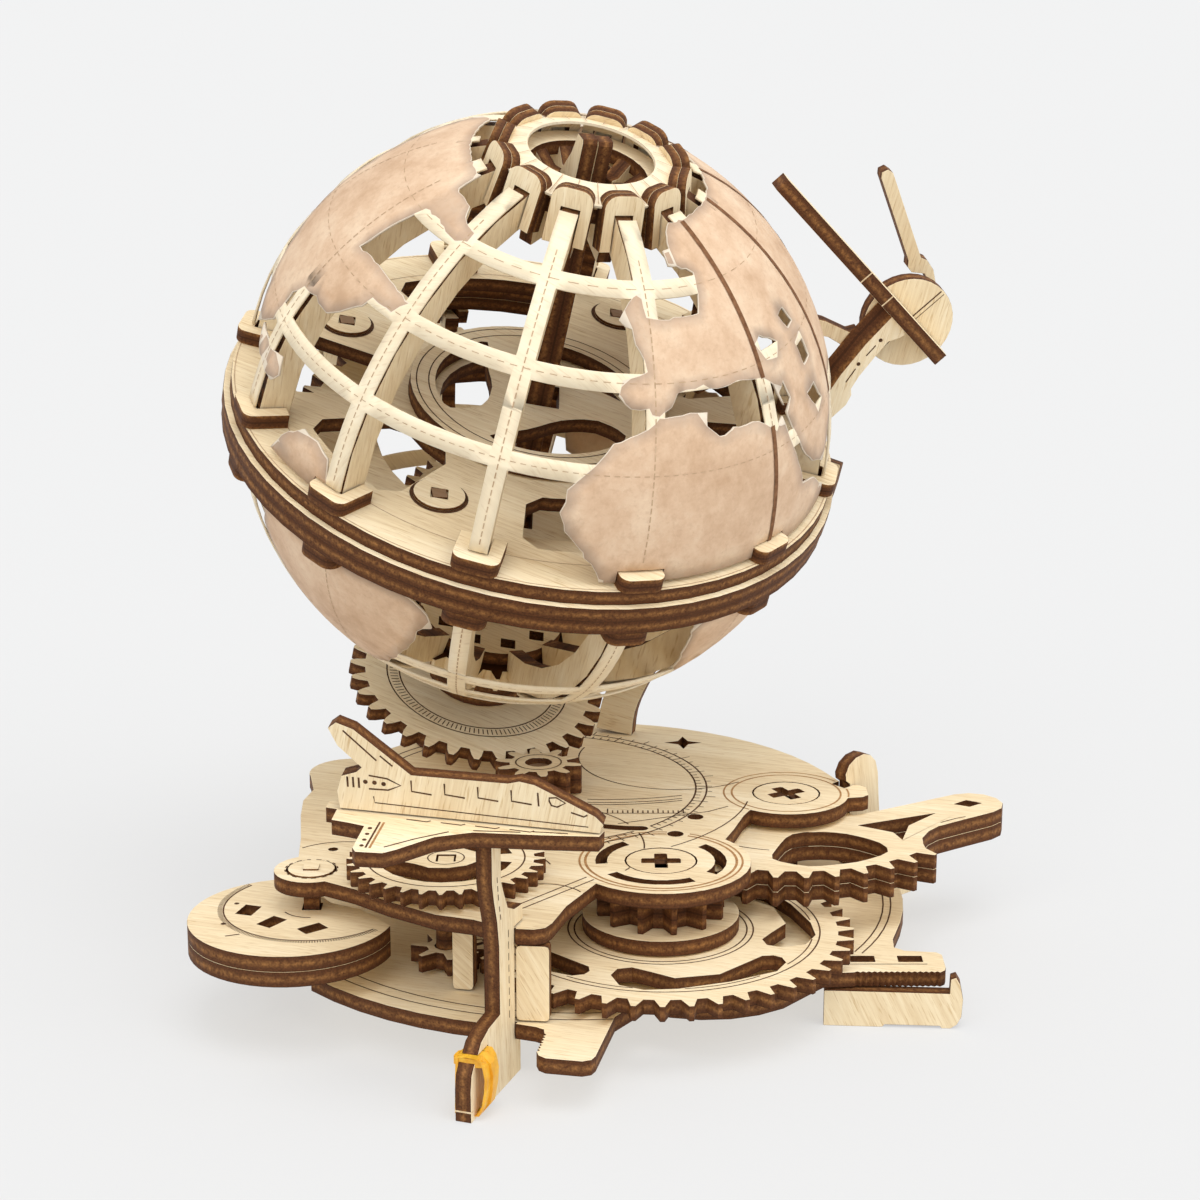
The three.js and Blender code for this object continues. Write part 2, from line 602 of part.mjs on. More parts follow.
// Ribs: arcs of sheet that stand on edge, from the band to the polar rings.
function rib(inner, outer, from, to) {
  const points = [...arc([0, 0], outer, from, to, 7), ...arc([0, 0], inner, to, from, 6)];
  const geometry = sheet(points);
  geometry.translate(0, 0, -PLY / 2);
  geometry.rotateX(Math.PI / 2);
  return geometry;
}
const ribAngle = (i) => FIRST_RIB + (i * 2 * Math.PI) / RIB_COUNT;
const NORTH_FROM = 1 * DEG;
const NORTH_TO = 72 * DEG;
const northRib = rib(RIB_OUTER - RIB_WIDTH, RIB_OUTER, NORTH_FROM, NORTH_TO);
for (let i = 0; i < RIB_COUNT; i++)
  place(globe, `north_rib_${i + 1}`, northRib, BIRCH, [0, 0, 0], [0, 0, ribAngle(i)]);
place(globe, "north_polar_ring", ring(15.4, 11.4, PLY, 36), BURNT, onAxis(50));
const southParts = Array.from({ length: RIB_COUNT }, (_, i) =>
  rib(RIB_OUTER - RIB_WIDTH, RIB_OUTER, -11.2 * DEG, -73 * DEG).rotateZ(ribAngle(i)),
);
const southRing = sheet(teeth(26, 1.4, 0), [circle([0, 0], 9, 24)]).translate(0, 0, -55.6);
place(globe, "south_cage", join(southRing, ...southParts), BIRCH);
place(globe, "gear_collar", ring(10.4, AXLE_SIDE, 11, 24), BURNT, onAxis(-66.9));

// The globe gear hangs under the south pole and meets the upper pinion at its lowest rim.
const meshAngle = new THREE.Vector3(TRANSFER_AXLE[0], TRANSFER_AXLE[1], 0)
  .sub(new THREE.Vector3(...GLOBE_CENTRE).addScaledVector(axis, GLOBE_GEAR_TOP));
const meshBearing = Math.atan2(meshAngle.dot(along), meshAngle.dot(across));
const roundTeeth = (count, module, phase) => teeth(count, module, phase, 0, count - 1, FLANKED);
const GLOBE_GEAR_MODULE = 1.6;
const UPPER_PINION_MODULE = 1.52; // a little finer, for the running clearance of the tilted mesh
place(
  globe,
  "globe_gear",
  sheet(roundTeeth(GLOBE_GEAR_TEETH, GLOBE_GEAR_MODULE, meshBearing), [circle([0, 0], AXLE_SIDE, 24)]),
  BIRCH,
  onAxis(GLOBE_GEAR_TOP - PLY),
);
const globeAxisFoot = new THREE.Vector3(...GLOBE_CENTRE).addScaledVector(axis, -GLOBE_CENTRE[2] / axis.z);
const gearMiddle = new THREE.Vector3(...GLOBE_CENTRE).addScaledVector(axis, GLOBE_GEAR_TOP - PLY / 2);
const fromPinion = Math.atan2(gearMiddle.y - TRANSFER_AXLE[1], gearMiddle.x - TRANSFER_AXLE[0]);
place(
  root,
  "upper_pinion",
  sheet(
    roundTeeth(UPPER_PINION_TEETH, UPPER_PINION_MODULE, fromPinion + Math.PI / UPPER_PINION_TEETH),
    [circle([0, 0], 2.7, 16)],
    PINION_HIGH - PINION_LOW,
  ),
  BIRCH,
  at(TRANSFER_AXLE, PINION_LOW),
);

// The skins are thin shells of printed card on the ribs, with windows over the oceans.
// Each row is one belt of latitude from the equator outwards; a digit is one 30-degree sector.
function skinShell(sign, from, to) {
  const steps = 4;
  const line = (r, a, b) => Array.from({ length: steps + 1 }, (_, i) => {
    const lat = a + ((b - a) * i) / steps;
    return new THREE.Vector2(r * Math.cos(lat), sign * r * Math.sin(lat));
  });
  const profile = [...line(SKIN_OUTER, from, to), ...line(SKIN_INNER, to, from)];
  profile.push(profile[0].clone());
  if (sign < 0) profile.reverse();
  const lathe = new THREE.LatheGeometry(profile, 24, ribAngle(0) + Math.PI / 2);
  return lathe.rotateX(Math.PI / 2);
}
function windowTool(sign, sector, low, high) {
  const half = (180 / RIB_COUNT - 3.6) * DEG;
  const middle = ribAngle(sector) + Math.PI / RIB_COUNT;
  const reach = 80;
  const corner = (lat, r, side) => new THREE.Vector3(
    r * Math.cos(lat) * Math.cos(middle + side * half),
    r * Math.cos(lat) * Math.sin(middle + side * half),
    sign * r * Math.sin(lat),
  );
  const wedge = (lat, r) => [corner(lat, r, -1), corner(lat, r, 1)];
  const points = [...wedge(low, 40), ...wedge(high, 40), ...wedge(low, reach), ...wedge(high, reach)];
  const faces = [
    0, 1, 3, 0, 3, 2, 4, 7, 5, 4, 6, 7, 0, 5, 1, 0, 4, 5,
    2, 3, 7, 2, 7, 6, 0, 2, 6, 0, 6, 4, 1, 7, 3, 1, 5, 7,
  ];
  if (sign > 0) faces.reverse();
  return new THREE.BufferGeometry()
    .setAttribute("position", new THREE.Float32BufferAttribute(points.flatMap((p) => p.toArray()), 3))
    .setIndex(faces);
}
function skin(sign, from, to, belts) {
  const tools = belts.flatMap(([low, high, sectors]) =>
    sectors.map((s) => windowTool(sign, s, low * DEG, high * DEG)),
  );
  return cut(skinShell(sign, from * DEG, to * DEG), ...tools);
}
place(globe, "north_skin", skin(1, 6, 71, [
  [11, 24, [5, 6, 7, 8, 9]],
  [28, 42, [6, 7, 8, 9, 10]],
  [46, 60, [7, 8, 9, 10]],
]), CARD);
place(globe, "south_skin", skin(-1, 13, 70, [
  [16, 27, [8, 9, 10, 11, 2, 3, 4]],
  [31, 44, [7, 8, 9, 10, 11, 0, 2, 3, 4]],
  [48, 60, [0, 1, 2, 3, 4, 5, 7, 8, 9, 10, 11]],
]), CARD);

// ---- fixed axle and its stand -------------------------------------------------------------------
const stand = new THREE.Group();
stand.position.copy(globe.position);
stand.quaternion.copy(globe.quaternion);
root.add(stand);
const AXLE_TOP = 51;
const AXLE_BOTTOM = -80;
place(
  stand,
  "globe_axle",
  new THREE.BoxGeometry(AXLE_SIDE, AXLE_SIDE, AXLE_TOP - AXLE_BOTTOM)
    .translate(0, 0, (AXLE_TOP + AXLE_BOTTOM) / 2),
  BURNT,
);
const standBlock = new THREE.CylinderGeometry(9, 10.5, 3.4, 24)
  .rotateX(Math.PI / 2)
  .translate(globeAxisFoot.x, globeAxisFoot.y, 2);
const axleClearance = new THREE.BoxGeometry(AXLE_SIDE + 2 * GAP, AXLE_SIDE + 2 * GAP, 20)
  .translate(0, 0, AXLE_BOTTOM + 10 - GAP)
  .applyQuaternion(globe.quaternion)
  .translate(...GLOBE_CENTRE);
place(root, "axle_stand", cut(standBlock, axleClearance), BURNT);

// ---- shuttle ------------------------------------------------------------------------------------
const shuttle = new THREE.Group();
shuttle.position.set(-34.4, -41, 23.6);
shuttle.rotation.set(9 * DEG, 2.6 * DEG, -9 * DEG, "ZYX");
root.add(shuttle);
const fuselageOutline = [
  [-22, 0.3], [23.4, 0.3], [24, 2], [22.6, 3.4], [18.4, 5.4], [14.2, 7.4], [12, 8.4], [9.4, 8.8], [7.4, 8.2],
  [-9.4, 8], [-10.4, 8.8], [-19.4, 15.8], [-22.4, 16.8], [-23.8, 15.6], [-22.2, 12.4], [-18, 8.6], [-19, 7.6],
  [-21.6, 6.6], [-22.4, 3.6],
];
place(shuttle, "shuttle_fuselage", upright(fuselageOutline, [], 0, [0, 0]), BIRCH);
const wingHalf = [
  [24, 0], [23.4, 2], [14, 3.4], [2, 4.8], [-4, 7.6], [-9.4, 13], [-11.4, 14.6], [-16, 15],
  [-16.8, 13.8], [-16.6, 6.2],
  [-19.6, 5.6], [-22.6, 5.2], [-22.6, 1.4], [-24.6, 1.2],
];
const wingOutline = [...wingHalf, ...wingHalf.slice(1).reverse().map(([x, y]) => [x, -y])];
place(shuttle, "shuttle_wing", sheet(wingOutline.reverse()), BIRCH, [0, 0, -PLY - 0.05]);

// ---- satellite ----------------------------------------------------------------------------------
const SATELLITE = [49.9, 60, 92.8];
const SATELLITE_RADIUS = 9.4;
const satellite = new THREE.Group();
satellite.position.set(...SATELLITE);
satellite.rotation.set(14 * DEG, 0, 12 * DEG, "ZYX");
root.add(satellite);
const satelliteBody = new THREE.Group();
satelliteBody.rotation.y = 46.5 * DEG;
satellite.add(satelliteBody);
place(
  satelliteBody,
  "satellite_disc",
  sheet(circle([0, 0], SATELLITE_RADIUS, 32)).translate(0, 0, -PLY / 2).rotateX(Math.PI / 2),
  BIRCH,
);
// A half disc stands square to it behind, and the edge-on boom crosses it in front.
const BEHIND = PLY / 2 + GAP;
place(
  satelliteBody,
  "satellite_rear_disc",
  sheet(arc([0, 0], SATELLITE_RADIUS, -78 * DEG, 78 * DEG, 14))
    .translate(0, 0, -PLY / 2)
    .rotateX(Math.PI / 2)
    .rotateZ(Math.PI / 2),
  BIRCH,
);
const boomOutline = rounded([[-43.6, 0], [9.2, 0], [9.2, 4.2], [-43.6, 4.2]], 0.6, 2);
place(satelliteBody, "satellite_front_boom", sheet(boomOutline).translate(0, -4.2 - BEHIND, -PLY / 2), BURNT);
const rearBoomOutline = [
  [8.6, 1.2], [9.4, 1.4], [9, 3.6], [8.2, 6.4], [6.6, 8.6], [5.2, 9.2],
  [-2.6, 27.4], [-3.8, 28.2], [-5, 27.6], [-5, 26.4], [2.6, 8.6], [2.6, 7.2], [3.6, 6], [6.4, 5.6],
].reverse();
place(
  satellite,
  "satellite_rear_boom",
  sheet(rearBoomOutline).rotateX(Math.PI / 2).translate(0, SATELLITE_RADIUS + PLY + GAP, 0),
  BIRCH,
);

// The satellite's arm is a curved sheet that rises behind the globe from the deck.
const ARM_FOOT = [-10, 78];
const armBearing = bearing(ARM_FOOT, [SATELLITE[0], SATELLITE[1]]);
const armSpine = new THREE.CatmullRomCurve3(
  [[2, 0.4], [4, 9], [12, 22], [26, 32], [38, 43], [46, 56], [50, 68], [51.5, 77]].map(
    ([s, z]) => new THREE.Vector3(s, z, 0),
  ),
);
function ribbon(curve, width, steps) {
  const edge = (side) =>
    Array.from({ length: steps + 1 }, (_, i) => {
      const t = i / steps;
      const p = curve.getPoint(t);
      const d = curve.getTangent(t);
      const w = (side * width(t)) / 2;
      return [p.x - d.y * w, p.y + d.x * w];
    });
  return [...edge(-1), ...edge(1).reverse()];
}
const armOutline = ribbon(armSpine, (t) => 8 - 3 * t, 14).map(([s, z]) => [s, Math.max(z, GAP)]);
place(root, "satellite_arm", upright(armOutline, [], armBearing, ARM_FOOT), BIRCH);

// ---- stand on z 0, centred ----------------------------------------------------------------------
root.updateMatrixWorld(true);
const box = new THREE.Box3().setFromObject(root, true);
root.position.set(-(box.min.x + box.max.x) / 2, -(box.min.y + box.max.y) / 2, -box.min.z);

export default root;
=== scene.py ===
import json
import math
import random

import bmesh
import bpy
from mathutils import Matrix, Vector
from mathutils.bvhtree import BVHTree
from mathutils.geometry import delaunay_2d_cdt


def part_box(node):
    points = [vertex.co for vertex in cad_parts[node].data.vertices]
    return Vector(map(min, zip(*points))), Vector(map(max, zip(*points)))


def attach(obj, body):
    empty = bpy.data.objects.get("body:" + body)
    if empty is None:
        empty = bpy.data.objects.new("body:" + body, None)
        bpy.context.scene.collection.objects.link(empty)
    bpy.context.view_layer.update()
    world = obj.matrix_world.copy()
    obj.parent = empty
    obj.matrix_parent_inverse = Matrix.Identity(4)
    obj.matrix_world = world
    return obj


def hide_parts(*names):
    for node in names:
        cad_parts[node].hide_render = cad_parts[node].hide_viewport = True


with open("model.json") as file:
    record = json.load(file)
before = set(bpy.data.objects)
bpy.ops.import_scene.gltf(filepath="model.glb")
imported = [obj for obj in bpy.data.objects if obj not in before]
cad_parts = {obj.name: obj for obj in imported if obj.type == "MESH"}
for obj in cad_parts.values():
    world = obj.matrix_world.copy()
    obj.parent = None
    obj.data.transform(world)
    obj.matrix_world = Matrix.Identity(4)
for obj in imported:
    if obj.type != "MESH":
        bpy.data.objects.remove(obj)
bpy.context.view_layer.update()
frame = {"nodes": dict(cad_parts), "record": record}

DEG = math.pi / 180
MM = 0.001
PLY = 3.0
NODES = frame["nodes"]
BODY_OF = {n: b for b, names in frame["record"]["behaviour"]["bodies"].items() for n in names}

# ---- planes: 4x4 matrices that take millimetres in a sheet's own plane to metres in the part's frame ----
hub_low, hub_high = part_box("drive_hub")
deck_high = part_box("deck_plate")[1]
DRIVE = Vector(((hub_low[0] + hub_high[0]) / 2, (hub_low[1] + hub_high[1]) / 2, deck_high[2]))
DECK = Matrix.Translation(DRIVE) @ Matrix.Scale(MM, 4)
# Heights of the sheets' upper faces over the deck's, and the shafts' places, in millimetres.
BASE_TOP, GEAR_TOP, LEVER_TOP, IDLER_TOP, MOON_TOP, PINION_TOP = -18, -13.6, -4, 4, -7.5, 6.5
LEVER_PIVOT, IDLER_PIVOT, MOON_PIVOT, TRANSFER_PIVOT = (26.1, 38), (-40, -9), (-65.5, -4.4), (-23.9, 38.2)
TOE_CORNER, TOE_BEARING = (-35.2, -52.4), 70
SATELLITE_CENTRE = (49.9, 60, 92.8)


def shifted(x, y, z=0.0):
    return DECK @ Matrix.Translation((x, y, z))


def upright(origin, angle):
    c, s = math.cos(angle * DEG), math.sin(angle * DEG)
    turn = Matrix(((c, 0, s, 0), (s, 0, -c, 0), (0, 1, 0, 0), (0, 0, 0, 1)))
    return DECK @ Matrix.Translation((origin[0], origin[1], 0)) @ turn


LEAN, LEAN_BEARING = 23 * DEG, -60 * DEG
AXIS = Vector((math.sin(LEAN) * math.cos(LEAN_BEARING), math.sin(LEAN) * math.sin(LEAN_BEARING),
               math.cos(LEAN)))
ACROSS = (Vector((1, 0, 0)) - AXIS * AXIS.x).normalized()
ALONG = AXIS.cross(ACROSS)
GLOBE_CENTRE = (-24.1, 43, 77.9)
tilt = Matrix((ACROSS, ALONG, AXIS)).transposed().to_4x4()
GLOBE = DECK @ Matrix.Translation(GLOBE_CENTRE) @ tilt
CENTRE = GLOBE @ Vector((0, 0, 0))
SHUTTLE = (shifted(-34.4, -41, 23.6) @ Matrix.Rotation(-9 * DEG, 4, "Z") @ Matrix.Rotation(2.6 * DEG, 4,
                                                                                           "Y")
           @ Matrix.Rotation(9 * DEG, 4, "X"))
SIDE_UP = Matrix(((1, 0, 0, 0), (0, 0, -1, 0), (0, 1, 0, 0), (0, 0, 0, 1)))  # x level, y up, z towards -Y
SATELLITE = shifted(*SATELLITE_CENTRE) @ Matrix.Rotation(12 * DEG, 4, "Z") @ Matrix.Rotation(14 * DEG, 4,
                                                                                             "X")
SAT_BODY = SATELLITE @ Matrix.Rotation(46.5 * DEG, 4, "Y")


def direction(matrix, v):
    return (matrix.to_3x3() @ Vector(v)).normalized()


# ---- node materials -----------------------------------------------------------------------------
class Shader:
    def __init__(self, name):
        self.material = bpy.data.materials.new(name)
        self.material.use_nodes = True
        self.tree = self.material.node_tree
        self.tree.nodes.clear()
        self.output = self.add("ShaderNodeOutputMaterial")
        self.bsdf = self.add("ShaderNodeBsdfPrincipled")
        self.link(self.bsdf.outputs[0], self.output.inputs["Surface"])
        self.coords = self.add("ShaderNodeTexCoord")

    def add(self, kind, **settings):
        node = self.tree.nodes.new(kind)
        for key, value in settings.items():
            setattr(node, key, value)
        return node

    def link(self, a, b):
        self.tree.links.new(a, b)

    def math(self, operation, a, b=None, c=None, clamp=False):
        node = self.add("ShaderNodeMath", operation=operation, use_clamp=clamp)
        for i, v in enumerate((a, b, c)):
            if v is None:
                continue
            if isinstance(v, (int, float)):
                node.inputs[i].default_value = v
            else:
                self.link(v, node.inputs[i])
        return node.outputs[0]

    def dot(self, vector, fixed):
        node = self.add("ShaderNodeVectorMath", operation="DOT_PRODUCT")
        self.link(vector, node.inputs[0])
        node.inputs[1].default_value = fixed
        return node.outputs["Value"]

    def noise(self, vector, scale, detail=3.0, roughness=0.55):
        node = self.add("ShaderNodeTexNoise")
        node.inputs["Scale"].default_value = scale
        node.inputs["Detail"].default_value = detail
        node.inputs["Roughness"].default_value = roughness
        if vector is not None:
            self.link(vector, node.inputs["Vector"])
        return node.outputs["Fac"]

    def combine(self, x, y, z):
        node = self.add("ShaderNodeCombineXYZ")
        for i, v in enumerate((x, y, z)):
            self.link(v, node.inputs[i])
        return node.outputs[0]

    def ramp(self, fac, stops):
        node = self.add("ShaderNodeValToRGB")
        elements = node.color_ramp.elements
        while len(elements) < len(stops):
            elements.new(0.5)
        for element, (at, colour) in zip(elements, stops):
            element.position = at
            element.color = (*colour, 1)
        self.link(fac, node.inputs[0])
        return node.outputs[0]

    def mix(self, fac, a, b, blend="MIX"):
        node = self.add("ShaderNodeMix", data_type="RGBA", blend_type=blend)
        for socket, v in ((node.inputs[0], fac), (node.inputs[6], a), (node.inputs[7], b)):
            if isinstance(v, (int, float)):
                socket.default_value = v
            elif isinstance(v, tuple):
                socket.default_value = (*v, 1)
            else:
                self.link(v, socket)
        return node.outputs[2]

    def bump(self, height, strength, distance):
        node = self.add("ShaderNodeBump")
        node.inputs["Strength"].default_value = strength
        node.inputs["Distance"].default_value = distance
        self.link(height, node.inputs["Height"])
        self.link(node.outputs[0], self.bsdf.inputs["Normal"])


BIRCH_LOW = (0.70, 0.53, 0.315)
BIRCH_MID = (0.83, 0.68, 0.445)
BIRCH_HIGH = (0.92, 0.80, 0.585)
CHAR = (0.050, 0.019, 0.008)
BURNT = (0.145, 0.055, 0.021)
GOLD = (0.36, 0.165, 0.052)


def birch_colour(s, p, normal, seed=0.0):
    """Birch veneer: long faint grain lines and soft warm patches."""
    normal = Vector(normal)
    first = normal.cross(Vector((0.31, 0.94, 0.12))).normalized()
    second = normal.cross(first)
    u, v, w = s.dot(p, first), s.dot(p, second), s.dot(p, normal)
    grain = s.noise(s.combine(s.math("MULTIPLY_ADD", u, 60.0, seed), s.math("MULTIPLY", v, 1500.0),
                              s.math("MULTIPLY", w, 200.0)), 1.0, 4.0, 0.6)
    pores = s.noise(s.combine(s.math("MULTIPLY_ADD", u, 260.0, seed), s.math("MULTIPLY", v, 3800.0),
                              s.math("MULTIPLY", w, 200.0)), 1.0, 2.0, 0.5)
    cloud = s.noise(s.combine(s.math("MULTIPLY_ADD", u, 24.0, seed), s.math("MULTIPLY", v, 70.0),
                              s.math("MULTIPLY", w, 70.0)), 1.0, 2.0, 0.5)
    value = s.math("MULTIPLY_ADD", grain, 0.55, s.math("MULTIPLY", cloud, 0.5))
    colour = s.ramp(value, [(0.34, BIRCH_LOW), (0.53, BIRCH_MID), (0.72, BIRCH_HIGH)])
    dark = s.ramp(pores, [(0.30, (0.80, 0.72, 0.62)), (0.42, (1, 1, 1))])
    return s.mix(1.0, colour, dark, "MULTIPLY"), grain


def char_colour(s, p, depth, seed=0.0):
    """A laser-burnt edge: near black skins, a golden streaked core, fine upright scorch lines."""
    n = s.noise(p, 1100.0, 3.0, 0.6)
    fine = s.noise(p, 2600.0, 2.0, 0.6)
    wave = s.math("ABSOLUTE", s.math("SUBTRACT", s.math("FRACT", depth), 0.5))
    core = s.math("SUBTRACT", 1.0, s.math("MULTIPLY", wave, 3.6), clamp=True)
    amount = s.math("MULTIPLY", core, s.math("MULTIPLY_ADD", n, 3.2, -1.05, clamp=True), clamp=True)
    amount = s.math("MULTIPLY", amount, s.math("MULTIPLY_ADD", fine, 1.5, 0.05), clamp=True)
    base = s.mix(s.math("MULTIPLY_ADD", fine, 1.6, -0.3, clamp=True), CHAR, BURNT)
    skin = s.math("GREATER_THAN", wave, 0.44)
    base = s.mix(s.math("MULTIPLY", skin, 0.75), base, CHAR)
    return s.mix(amount, base, GOLD), fine


made = {}


def ply(normal, base=0.0, radial=False, dark_faces=False, seed=0.0):
    """Laser-cut birch ply. normal is the sheet's own; base is where its lower face lies along it (m)."""
    key = (tuple(round(c, 4) for c in normal), round(base, 6), radial, dark_faces, seed)
    if key in made:
        return made[key]
    s = Shader("ply_%d" % len(made))
    p = s.coords.outputs["Object"]
    if radial:
        # Standing arcs: the burnt edges are the faces that look to or from the globe's centre.
        out = s.add("ShaderNodeVectorMath", operation="SUBTRACT")
        s.link(p, out.inputs[0])
        out.inputs[1].default_value = CENTRE
        unit = s.add("ShaderNodeVectorMath", operation="NORMALIZE")
        s.link(out.outputs[0], unit.inputs[0])
        d = s.add("ShaderNodeVectorMath", operation="DOT_PRODUCT")
        s.link(unit.outputs[0], d.inputs[0])
        s.link(s.coords.outputs["Normal"], d.inputs[1])
        edge = s.math("GREATER_THAN", s.math("ABSOLUTE", d.outputs["Value"]), 0.55)
    else:
        edge = s.math("LESS_THAN", s.math("ABSOLUTE", s.dot(s.coords.outputs["Normal"], normal)), 0.8)
    depth = s.math("DIVIDE", s.math("SUBTRACT", s.dot(p, normal), base), PLY * MM)
    face, grain = birch_colour(s, p, normal, seed)
    if dark_faces:
        face = s.mix(0.82, face, BURNT)
    rim, fine = char_colour(s, p, depth, seed)
    s.link(s.mix(edge, face, rim), s.bsdf.inputs["Base Color"])
    s.link(s.math("MULTIPLY_ADD", grain, 0.25, 0.5), s.bsdf.inputs["Roughness"])
    s.bsdf.inputs["Specular IOR Level"].default_value = 0.12
    s.bump(s.math("MULTIPLY_ADD", grain, 0.5, s.math("MULTIPLY", fine, 0.5)), 0.35, 0.00012)
    made[key] = s.material
    return s.material


def line_material(name, low, high):
    s = Shader(name)
    n = s.noise(s.coords.outputs["Object"], 900.0, 3.0)
    s.link(s.ramp(n, [(0.3, low), (0.7, high)]), s.bsdf.inputs["Base Color"])
    s.bsdf.inputs["Roughness"].default_value = 0.75
    s.bsdf.inputs["Specular IOR Level"].default_value = 0.15
    return s.material


ENGRAVED = line_material("engraved_dark", (0.045, 0.02, 0.01), (0.13, 0.06, 0.028))
SCORCHED = line_material("engraved_golden", (0.30, 0.15, 0.055), (0.50, 0.28, 0.12))
FAINT = line_material("engraved_faint", (0.40, 0.26, 0.15), (0.58, 0.42, 0.27))
EDGE_LINE = line_material("burnt_rib_edge", (0.13, 0.055, 0.024), (0.26, 0.125, 0.058))
BRIDGE = line_material("uncut_bridge", (0.62, 0.44, 0.24), (0.85, 0.68, 0.45))


def card_material():
    """Printed card: mottled tan that greys towards the coast, and a pale cut line on the coast itself."""
    s = Shader("printed_card")
    p = s.coords.outputs["Object"]
    cloud = s.noise(p, 75.0, 4.0, 0.62)
    speck = s.noise(p, 900.0, 3.0, 0.7)
    veins = s.noise(p, 210.0, 5.0, 0.75)
    value = s.math("MULTIPLY_ADD", cloud, 0.6, s.math("MULTIPLY", veins, 0.4))
    colour = s.ramp(value, [(0.36, (0.56, 0.365, 0.225)), (0.5, (0.68, 0.475, 0.315)),
                            (0.64, (0.77, 0.585, 0.41))])
    colour = s.mix(s.math("MULTIPLY_ADD", speck, 1.3, -0.66, clamp=True), colour, (0.45, 0.28, 0.17))
    coast = s.add("ShaderNodeAttribute", attribute_name="coast")
    near = s.math("SUBTRACT", 1.0, s.math("MULTIPLY", coast.outputs["Fac"], 0.42), clamp=True)
    shade = s.math("MULTIPLY", near, s.math("MULTIPLY_ADD", veins, 1.1, 0.05), clamp=True)
    colour = s.mix(shade, colour, (0.33, 0.24, 0.185))
    rim = s.math("LESS_THAN", coast.outputs["Fac"], 0.09)
    colour = s.mix(s.math("MULTIPLY", rim, 0.85), colour, (0.80, 0.70, 0.56))
    s.link(colour, s.bsdf.inputs["Base Color"])
    s.bsdf.inputs["Roughness"].default_value = 0.6
    s.bsdf.inputs["Specular IOR Level"].default_value = 0.25
    s.bump(speck, 0.25, 0.0001)
    return s.material


def strip_material():
    s = Shader("card_strip")
    p = s.coords.outputs["Object"]
    colour, grain = birch_colour(s, p, AXIS, 3.0)
    s.link(s.mix(0.45, colour, (0.90, 0.79, 0.60)), s.bsdf.inputs["Base Color"])
    s.link(s.math("MULTIPLY_ADD", grain, 0.2, 0.5), s.bsdf.inputs["Roughness"])
    s.bump(grain, 0.3, 0.0001)
    return s.material


def rubber_material():
    s = Shader("amber_rubber")
    p = s.coords.outputs["Object"]
    n = s.noise(p, 350.0, 3.0)
    s.link(s.ramp(n, [(0.3, (0.72, 0.33, 0.012)), (0.7, (0.90, 0.52, 0.045))]), s.bsdf.inputs["Base Color"])
    s.bsdf.inputs["Roughness"].default_value = 0.38
    s.bsdf.inputs["Subsurface Weight"].default_value = 0.2
    s.bsdf.inputs["Subsurface Radius"].default_value = (0.002, 0.001, 0.0003)
    s.bump(s.noise(p, 1500.0, 2.0), 0.3, 0.0001)
    return s.material


CARD, STRIP, RUBBER = card_material(), strip_material(), rubber_material()


# ---- mesh building ------------------------------------------------------------------------------
def inside(point, loop):
    x, y = point[0], point[1]
    hit = False
    for i in range(len(loop)):
        (x0, y0), (x1, y1) = loop[i - 1][:2], loop[i][:2]
        if (y0 > y) != (y1 > y) and x < (x1 - x0) * (y - y0) / (y1 - y0) + x0:
            hit = not hit
    return hit


def triangles(loops, extra, keep):
    points, edges = [], []
    for loop in loops:
        k, n = len(points), len(loop)
        points += [Vector(p) for p in loop]
        edges += [(k + i, k + (i + 1) % n) for i in range(n)]
    points += [Vector(p) for p in extra]
    verts, _, faces, *_ = delaunay_2d_cdt(points, edges, [], 0, 1e-5)
    kept = []
    for f in faces:
        c = (sum(verts[i].x for i in f) / len(f), sum(verts[i].y for i in f) / len(f))
        if keep(c):
            kept.append(f)
    return verts, kept


def add_object(name, mesh, body, *materials, slot="birch_ply"):
    for m in materials:
        mesh.materials.append(m)
    o = bpy.data.objects.new(name, mesh)
    bpy.context.scene.collection.objects.link(o)
    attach(o, body)
    return o


def mesh_of(bm, name, plane):
    """The finished mesh, moved from its plane's millimetres to the part's frame."""
    bmesh.ops.transform(bm, matrix=plane, verts=bm.verts)
    mesh = bpy.data.meshes.new(name)
    bm.to_mesh(mesh)
    bm.free()
    return mesh


def plate(name, plane, outline, holes, low, high, body, material, slot="birch_ply", bevel=0.18):
    """A sheet cut to an outline, between two heights over its plane."""
    verts, faces = triangles([outline, *holes], [],
                             lambda c: inside(c, outline) and not any(inside(c, h) for h in holes))
    bm = bmesh.new()
    vs = [bm.verts.new((v.x, v.y, low)) for v in verts]
    for f in faces:
        bm.faces.new([vs[i] for i in f])
    bmesh.ops.delete(bm, geom=[v for v in bm.verts if not v.link_faces], context="VERTS")
    top = bmesh.ops.extrude_face_region(bm, geom=list(bm.faces))
    bmesh.ops.translate(bm, vec=(0, 0, high - low), verts=[g for g in top["geom"]
                                                           if isinstance(g, bmesh.types.BMVert)])
    bmesh.ops.recalc_face_normals(bm, faces=bm.faces)
    o = add_object(name, mesh_of(bm, name, plane), body, material, slot=slot)
    if bevel:
        soften(o, bevel)
    return o


def soften(o, width):
    m = o.modifiers.new("edges", "BEVEL")
    m.width = width * MM
    m.segments = 2
    m.limit_method = "ANGLE"
    m.angle_limit = 40 * DEG
    m.use_clamp_overlap = True


def ring_points(radius, steps=48, centre=(0, 0), start=0.0, sweep=360.0):
    last = steps if sweep >= 360 else steps + 1
    return [(centre[0] + radius * math.cos((start + sweep * i / steps) * DEG),
             centre[1] + radius * math.sin((start + sweep * i / steps) * DEG)) for i in range(last)]


